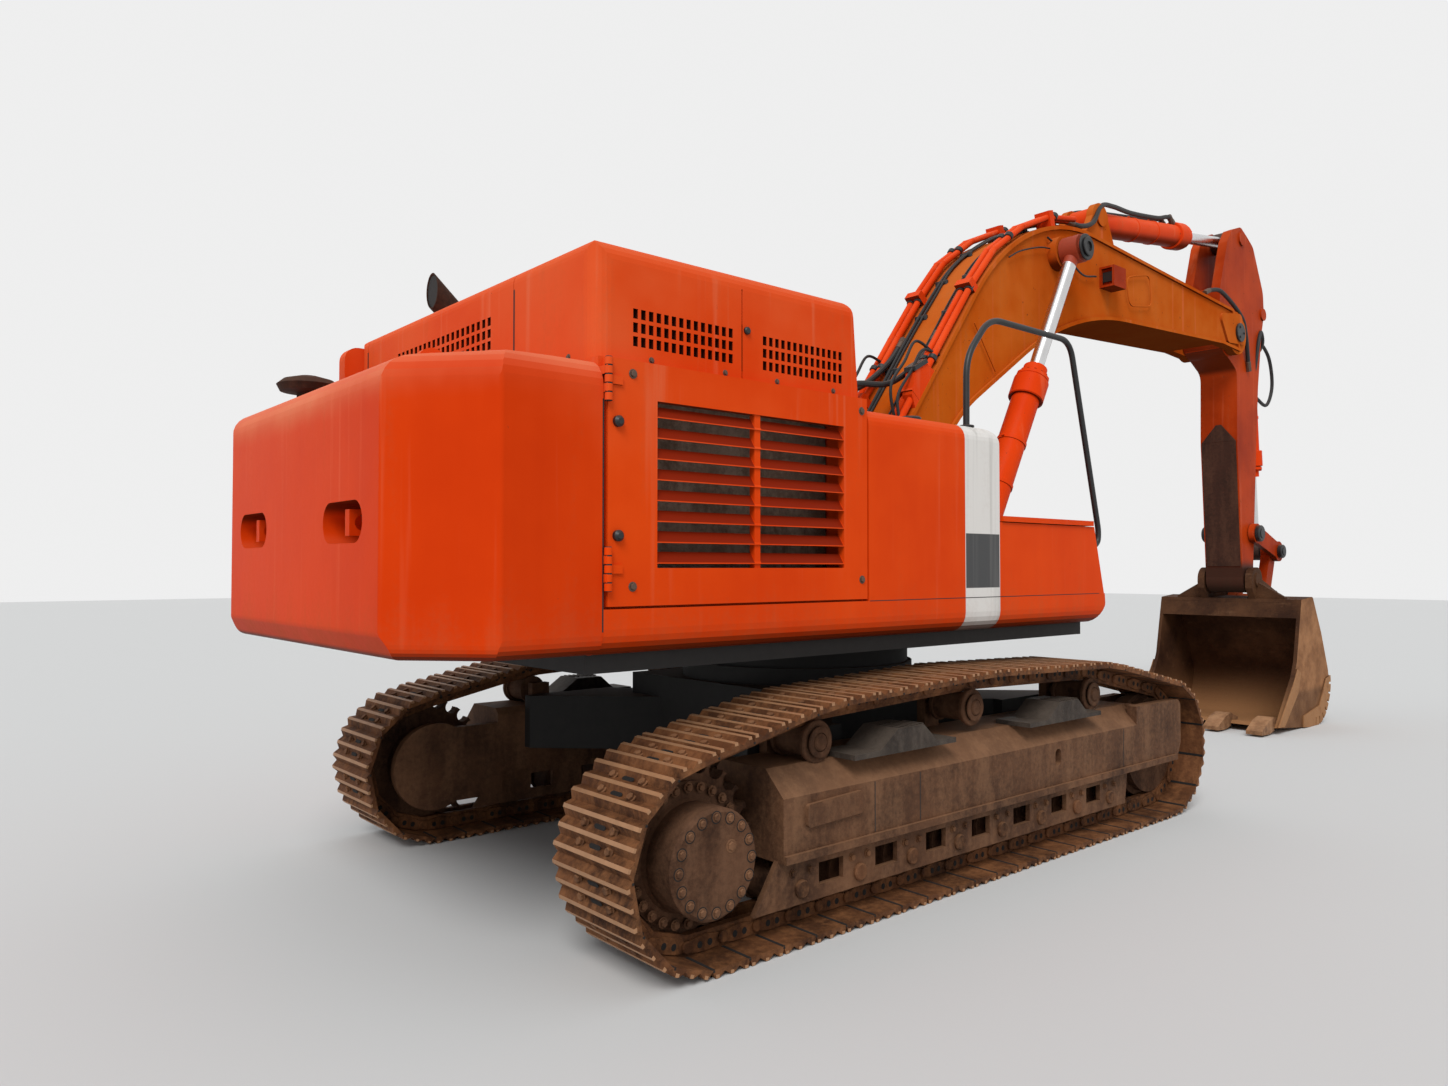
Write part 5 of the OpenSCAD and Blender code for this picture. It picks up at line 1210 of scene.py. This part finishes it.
def tread_ridges():
    """Raised bars across the step plates on the track frames."""
    _, (_, out_y, top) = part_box("steps")
    form = Form()
    for start in (-1.29, 0.33):
        for sign in (-1, 1):
            y0, y1 = sorted((sign * (out_y - 0.012), sign * (out_y - 0.16)))
            for i in range(6):
                p = at(start + 0.37 + 0.04 * i, 0, top - 0.001)
                form.brick((p.x, y0, p.z), (p.x + 0.014, y1, p.z + 0.007), 0.003)
    form.on("tread_ridges", step_grey, "undercarriage")


# Cab.

(_, CAB_RIGHT, _), (CAB_FRONT, CAB_LEFT, CAB_TOP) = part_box("cab_shell")
LAMP_IN, LAMP_RISE = 0.16, 0.07
FOLDS, FOLD_PITCH = 6, 0.035


def on_cab(x, y, z):
    """Ahead of the cab's front, out from its left side, and up from the ground."""
    return Vector((CAB_FRONT + x, CAB_LEFT + y, z))


def roof_lamps():
    housings, lenses = Form(), Form()
    for y in (CAB_RIGHT + LAMP_IN, CAB_LEFT - LAMP_IN):
        x, z = CAB_FRONT - 0.22, CAB_TOP + LAMP_RISE
        housings.brick((x - 0.1, y - 0.08, CAB_TOP), (x, y + 0.08, CAB_TOP + 0.02))
        housings.disc(Vector((x, y, z)), X, 0.075, 0.06, 24, 0.01)
        housings.disc(Vector((x - 0.08, y, z)), X, 0.055, 0.09, 20, 0.012)
        lenses.disc(Vector((x + 0.06, y, z)), X, 0.066, 0.008, 24, 0.005)
    housings.on("roof_lamp_housings", black, "upper")
    lenses.on("roof_lamp_lenses", lamp_lens, "upper")


def cab_grab_bar():
    """The rail at the door's front edge, which carries the mirror."""
    form = Form()
    form.pipe(smooth([
        on_cab(-0.2, 0, 2.0), on_cab(-0.1, 0.06, 2.02), on_cab(-0.04, 0.07, 2.3),
        on_cab(-0.05, 0.06, 2.75), on_cab(-0.25, 0, 2.8),
    ]), 0.014)
    form.pipe(smooth([on_cab(-0.04, 0.07, 2.35), on_cab(0.02, 0.085, 2.37), on_cab(0.03, 0.09, 2.5)]), 0.009)
    form.brick(on_cab(0.02, -0.02, 2.5), on_cab(0.055, 0.12, 2.8), 0.012)
    form.on("cab_grab_bar", black, "upper")


def mirror_face():
    form = Form()
    corners = rectangle(-0.005, 0.105, 2.52, 2.78)
    form.slab([on_cab(0.02, y, z) for y, z in corners], -X * 0.003, 0.002)
    form.on("mirror_face", mirror, "upper")


def wiper():
    pivot = Vector((CAB_FRONT - 0.02, (CAB_RIGHT + CAB_LEFT) / 2 - 0.15, 2.12))
    form = Form()
    form.disc(pivot - X * 0.01, X, 0.02, 0.04, 16)
    form.pipe(smooth([
        pivot + X * 0.025, pivot + Vector((0.022, 0.1, 0.2)), pivot + Vector((0.012, 0.18, 0.42)),
    ]), 0.006)
    form.on("wiper", black, "upper")


def cab_door_handle():
    """A pull on its plate."""
    x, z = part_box("cab_door")[1][0] - 0.1, 2.32
    form = Form()
    form.brick((x - 0.05, CAB_LEFT, z - 0.055), (x + 0.04, CAB_LEFT + 0.012, z + 0.055), 0.004)
    pull = ((-0.035, 0.01), (-0.03, 0.04), (0.02, 0.045), (0.03, 0.01))
    form.pipe(smooth([Vector((x + dx, CAB_LEFT + dy, z)) for dx, dy in pull]), 0.009)
    form.on("cab_door_handle", black, "cab_door")


def seat_pad(name, size, place, turn):
    """A crowned cushion with pulled-in sides and two sewn channels."""
    form = Form()
    bmesh.ops.create_cube(form.bm, size=1.0)
    bmesh.ops.subdivide_edges(form.bm, edges=form.bm.edges, cuts=9, use_grid_fill=True)
    sx, sy, sz = size
    spin = Matrix.Rotation(turn, 3, "Y")
    for v in form.bm.verts:
        a, b, c = (2 * q for q in v.co)
        pull = 1 - 0.07 * (abs(c) < 0.85) * (1 - 0.5 * (a * a + b * b) / 2)
        channel = 0.06 * max(0.0, 1 - abs(abs(b) - 0.42) / 0.1) * (c > 0.5)
        crown = (1 - 0.5 * a * a) * (1 - 0.5 * b * b)
        p = Vector((
            sx / 2 * a * pull * (1 - 0.1 * b * b * (abs(a) > 0.9)),
            sy / 2 * b * pull * (1 - 0.1 * a * a * (abs(b) > 0.9)),
            sz / 2 * c * (0.72 + 0.28 * crown - channel),
        ))
        v.co = place + spin @ p
    made = form.finish(name, cloth)
    smoother = made.modifiers.new("round", "SUBSURF")
    smoother.levels = smoother.render_levels = 1
    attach(made, "upper")
    return made


def operator_seat():
    """Two cushions on a bellows base, in place of the frame's plain seat."""
    low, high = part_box("seat")
    x, y, z = high[0] - 0.5, (low[1] + high[1]) / 2, low[2]
    cushion = seat_pad("seat_cushion", (0.5, 0.44, 0.15), Vector((x + 0.24, y, z + 0.4)), -0.05)
    seat_pad("seat_back", (0.16, 0.43, 0.68), Vector((x, y, z + 0.8)), -0.13)

    form = Form()

    def layer(x0, x1, half, z0, z1, edge):
        form.brick((x + x0, y - half, z + z0), (x + x1, y + half, z + z1), edge)

    layer(0.02, 0.4, 0.17, 0.0, 0.1, 0.012)
    for i in range(FOLDS):
        layer(0.05, 0.38, 0.15, 0.1 + i * FOLD_PITCH, 0.127 + i * FOLD_PITCH, 0.009)
    layer(-0.02, 0.44, 0.19, 0.31, 0.34, 0.008)
    form.on("seat_base", trim, "upper")
    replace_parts(cushion, "seat")


# Boom, arm and bucket.

BOOM_SIDE_Y = 0.345
BOOM_CAP_R = 0.11
CLAMP_SLOPE = 0.9
CLAMPS = ((0.62, 0.62), (1.3, 1.034), (2.0, 1.455), (2.75, 1.77), (3.55, 1.82))
CABLE_ROUTE = (
    (0.5, 0.56), (1.0, 0.865), (1.6, 1.235), (2.05, 1.5),
    (2.48, 1.71), (2.98, 1.825), (3.45, 1.84), (3.9, 1.755),
)
CABLE_TIES = (
    (0.8, 0.745), (1.3, 1.05), (1.85, 1.38), (2.25, 1.605), (2.7, 1.775), (3.2, 1.84), (3.7, 1.8),
)
# Each cable's place across the boom, and its radius.
CABLES = ((-0.15, 0.011), (-0.12, 0.008), (0.1, 0.011), (0.15, 0.014), (-0.19, 0.012))
THIN_SIDES = 8
LOOP_R = 0.021
WEAR_PLATE_T = 0.014


def half_y(node):
    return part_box(node)[1][1]


def boom_row(places, y):
    """Points on the boom at one distance from its middle."""
    return [on_boom(u, v, y) for u, v in places]


def gland(name, ends, body, reach, r, ys):
    """The bolted heads at the cylinders' open ends, and the bands round their barrels."""
    axis = line_axis(ends)
    heads, bands = Form(), Form()
    for y in ys:
        heads.hoop(on_line(ends, reach - 0.33, 0, y), axis, r - 0.004, r + 0.022, 0.2, 44, 0.008)
        heads.hoop(on_line(ends, reach - 0.125, 0, y), axis, r - 0.02, r + 0.012, 0.04, 44, 0.006)
        heads.bolt_ring(on_line(ends, reach - 0.085, 0, y), axis, r - 0.004, 14, 0.011, 0.014)
        for share in (0.42, 0.62):
            along = reach * share
            bands.hoop(on_line(ends, along, 0, y), axis, r - 0.0085, r - 0.001, 0.035, 44, 0.002)
            middle, spot = (on_line(ends, along + 0.0175, off, y) for off in (0, r - 0.004))
            bands.bolt(spot, (spot - middle).normalized(), 0.013, 0.016)
    heads.on(f"{name}_heads", cylinder_orange, body)
    bands.on(f"{name}_bands", cylinder_orange, body)


def boom_cables():
    """Thin cables along the boom's back, with their ties."""
    cables, ties = Form(), Form()
    for y, r in CABLES:
        row = [
            on_boom(u, v + 0.012 * chance.random(), y + 0.03 * (chance.random() - 0.5))
            for u, v in CABLE_ROUTE
        ]
        cables.pipe(smooth(row, 6), r, THIN_SIDES)
    for u, v in CABLE_TIES:
        for y in (-0.155, 0.125):
            p = on_boom(u, v, y)
            ties.brick(p - Vector((0.012, 0.065, 0.03)), p + Vector((0.012, 0.065, 0.02)), 0.006)
    cables.on("boom_cables", rubber, "boom")
    ties.on("boom_cable_ties", black, "boom")


def lamp_cable():
    form = Form()
    form.pipe(smooth([
        on_boom(3.3, 1.72, -0.342), on_boom(3.5, 1.55, -0.352),
        on_boom(3.75, 1.3, -0.35), on_boom(4.0, 1.23, -0.349),
    ]), 0.009, THIN_SIDES)
    form.on("lamp_cable", rubber, "boom")


def grease_lines():
    route = ((2.6, 1.66), (2.8, 1.68), (3.1, 1.66), (3.28, 1.62))
    form = Form()
    for sign in (-1, 1):
        form.pipe(smooth(boom_row(route, sign * 0.353)), 0.007, THIN_SIDES)
    form.on("grease_lines", rubber, "boom")


def boom_welds():
    """A seam across each of the boom's side plates, and one round a patch further along."""
    seam = ((1.9, 1.24), (2.04, 0.79))
    patch = ((4.8, 1.09), (4.59, 1.11), (4.55, 0.83), (5.01, 0.73), (5.09, 1.04), (4.8, 1.09))
    form = Form()
    for sign in (-1, 1):
        y = sign * 0.346
        form.pipe(boom_row(seam, y), 0.006, THIN_SIDES)
        form.pipe(bent(boom_row(patch, y), 0.09), 0.006, THIN_SIDES)
    form.on("boom_welds", boom_orange, "boom")


def foot_cables():
    """Cables that arch above the boom's lower end."""
    form = Form()
    for y, lift in ((-0.3, 0.12), (-0.255, 0.2), (0.26, 0.16)):
        form.pipe(smooth([
            on_boom(0.72, 0.72, y), on_boom(0.8, 0.8 + lift, y + 0.02), on_boom(1.0, 0.95 + lift, y - 0.01),
            on_boom(1.22, 1.06 + lift, y + 0.015), on_boom(1.36, 1.07 + 0.4 * lift, y), on_boom(1.4, 1.09, y),
        ]), 0.012, THIN_SIDES)
    form.on("foot_cables", rubber, "boom")


def foot_hose_guard():
    """A plate beside the hoses at the boom's foot, with a black cap on its upper edge."""
    plate = ((0.9, 0.76), (1.22, 0.95), (1.24, 1.0), (1.16, 1.09), (1.02, 1.07), (0.9, 0.9))
    form = Form()
    form.slab(boom_row(plate, -0.335), Y * 0.1, 0.008)
    form.on("foot_hose_guard", cylinder_orange, "boom")
    cap = ((1.0, 1.06), (1.18, 1.08), (1.17, 1.115), (1.01, 1.095))
    form = Form()
    form.slab(boom_row(cap, -0.345), Y * 0.12, 0.01)
    form.on("foot_hose_guard_cap", black, "boom")


def bucket_cylinder_loop():
    """The hose that hangs in a loop in front of the bucket cylinder."""
    places = (
        (0.3, 0.1, -0.05), (0.3, 0.24, -0.08), (0.5, 0.46, -0.1),
        (0.85, 0.52, -0.1), (1.1, 0.36, -0.08), (1.0, 0.1, -0.05),
    )
    row = smooth([on_line(BUCKET_CYLINDER, *place) for place in places])
    form = Form()
    form.pipe(row, LOOP_R)
    made = form.on("bucket_cylinder_loop", rubber, "bucket_barrel")
    run_length(row)


def pipe_clamps():
    """Rings that hold the pipes on the boom's back."""
    along = Vector((math.cos(CLAMP_SLOPE), 0, math.sin(CLAMP_SLOPE)))
    form = Form()
    for u, v in CLAMPS:
        for sign in (-1, 1):
            for y in (0.225, 0.3):
                p = on_boom(u, v + 0.06, sign * y)
                form.hoop(p - 0.022 * along, along, 0.0275, 0.038, 0.044, 20)
    form.on("pipe_clamps", black, "boom")


def boom_pin_caps():
    """Round plates with three bolts on the boom's two pins."""
    form = Form()
    for out in (-Y, Y):
        for pin in (BOOM_TIP, BOOM_FOOT):
            centre = above(pin) + out * BOOM_SIDE_Y
            form.disc(centre, out, BOOM_CAP_R, 0.022, 28, 0.006)
            form.bolt_ring(centre + out * 0.022, out, BOOM_CAP_R * 0.62, 3, 0.013, 0.01, 0.5)
    form.on("boom_pin_caps", black, "boom")


def boom_rod_caps():
    """Stepped rings on the pin of the boom's rods."""
    form = Form()
    for out in (-Y, Y):
        centre = above(BOOM_CYLINDER[1]) + out * half_y("boom_rods")
        form.hoop(centre, out, 0.055, 0.118, 0.02, 36, 0.006)
        form.hoop(centre + out * 0.02, out, 0.045, 0.085, 0.02, 36, 0.006)
        form.disc(centre, out, 0.056, 0.026, 28, 0.008)
    form.on("boom_rod_caps", black, "boom_rods")


def boom_lamp_glass():
    (x, y0, z0), (_, y1, z1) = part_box("boom_lamp")
    y, z = (y0 + y1) / 2, (z0 + z1) / 2
    form = Form()
    form.brick((x + 0.022, y - 0.056, z - 0.05), (x + 0.034, y + 0.056, z + 0.05))
    form.on("boom_lamp_glass", rubber, "boom")


def arm_wear_plate():
    """The plate on the arm's machine side, and the tapered one above it."""
    push = (on_arm(0, 0, 0) - on_arm(0, 1, 0)) * WEAR_PLATE_T
    form = Form()
    for outline in (
        ((1.255, 0.0105, -0.2), (1.255, 0.0105, 0.2), (2.75, -0.1325, 0.2), (2.75, -0.1325, -0.2)),
        ((1.05, 0.049, -0.03), (1.05, 0.049, 0.03), (1.254, 0.0107, 0.2), (1.254, 0.0107, -0.2)),
    ):
        form.slab([on_arm(*corner) for corner in outline], push, 0.004)
    form.on("arm_wear_plate", wear_brown, "arm")


def linkage_pin_caps(name, pin, r, body):
    """Stepped round caps on both heads of a pin in the bucket's linkage."""
    form = Form()
    for out in (-Y, Y):
        centre = pin + out * (half_y("guide_links") + 0.006)
        form.disc(centre, out, r, 0.048, 32, 0.01)
        form.disc(centre + out * 0.047, out, r * 0.6, 0.01, 24, 0.004)
    form.on(name, black, body)


def arm_valve_block():
    """Two black blocks on the arm's front."""
    form = Form()
    for w, n in ((0.75, 0.735), (1.15, 0.622)):
        p = on_arm(w, n, 0)
        form.brick(p - Vector((0.01, 0.09, 0.06)), p + Vector((0.03, 0.09, 0.06)), 0.008)
    form.on("arm_valve_block", black, "arm")


# Floor and light.

FLOOR_REACH, FLOOR_Z = 60.0, -0.002
SKY_STRENGTH, KEY_STRENGTH, KEY_SPREAD = 0.62, 1.9, math.radians(28)
KEY_TOWARD = Vector((0.62, 0.5, -0.85))


def stage_floor():
    mesh = bpy.data.meshes.new("floor")
    corners = rectangle(-FLOOR_REACH, FLOOR_REACH, -FLOOR_REACH, FLOOR_REACH)
    mesh.from_pydata([(x, y, FLOOR_Z) for x, y in corners], [], [(0, 1, 2, 3)])
    floor = bpy.data.objects.new("floor", mesh)
    bpy.context.scene.collection.objects.link(floor)
    f = Finish("pale floor")
    mesh.materials.append(f.surface(Base_Color=rgb(0.62, 0.62, 0.61), Roughness=0.9))


def studio_light():
    """An even sky, seen as a paler backdrop, and one soft sun."""
    world = bpy.data.worlds.new("studio")
    bpy.context.scene.world = world
    nodes = Nodes(world)
    path = nodes.make("ShaderNodeLightPath")
    camera, glossy, through = (
        Value(nodes, path.outputs[f"Is {kind} Ray"]) for kind in ("Camera", "Glossy", "Transmission")
    )
    sky = {"Color": rgb(0.95, 0.97, 1.0), "Strength": SKY_STRENGTH}
    soft = nodes.node("ShaderNodeBackground", None, sky)
    seen = nodes.node("ShaderNodeBackground", None, {"Color": rgb(0.86, 0.86, 0.86)})
    both = nodes.node("ShaderNodeMixShader", None, {0: camera.most(glossy).most(through), 1: soft, 2: seen})
    nodes.make("ShaderNodeOutputWorld", None, {"Surface": both})

    key = bpy.data.lights.new("key", "SUN")
    key.energy = KEY_STRENGTH
    key.angle = KEY_SPREAD
    lamp = bpy.data.objects.new("key", key)
    bpy.context.scene.collection.objects.link(lamp)
    lamp.rotation_euler = KEY_TOWARD.to_track_quat("-Z", "Y").to_euler()


# The pieces, in one order, since the nicks and the cables share one row of random draws.

hoses()
for side, sign in SIDES:
    track_dress(side, sign)
    final_drive_dress(side, sign)
    carrier_caps(side, sign)
    frame_seams(side, sign)
    roller_caps(side, sign)

hood_bolts()
hood_latch()
vent_shade_plates()
lifting_lugs()
grille_door_bolts()
grille_door_bumpers()
grille_door_hinges()
left_door_latches()
tank_cap()
roof_lamps()
cab_grab_bar()
mirror_face()
wiper()
cab_door_handle()
handrail()
exhaust_stack()
panel_seams()
tread_ridges()
operator_seat()

gland("boom_cylinder", BOOM_CYLINDER, "boom_barrels", 2.06, 0.125, (-0.499, 0.499))
gland("arm_cylinder", ARM_CYLINDER, "arm_barrel", 2.24, 0.13, (0.0,))
gland("bucket_cylinder", BUCKET_CYLINDER, "bucket_barrel", 2.01, 0.11, (0.0,))
boom_cables()
lamp_cable()
grease_lines()
boom_welds()
foot_cables()
foot_hose_guard()
bucket_cylinder_loop()
pipe_clamps()
boom_pin_caps()
boom_rod_caps()
boom_lamp_glass()
arm_wear_plate()
linkage_pin_caps("guide_pin_caps", on_arm(GUIDE_W, GUIDE_N, 0), PIN_R + 0.044, "arm")
linkage_pin_caps("link_pin_caps", above(BUCKET_CYLINDER[1]), PIN_R + 0.029, "bucket_link")
arm_valve_block()

stage_floor()
studio_light()
bpy.context.scene.view_settings.view_transform = "Standard"
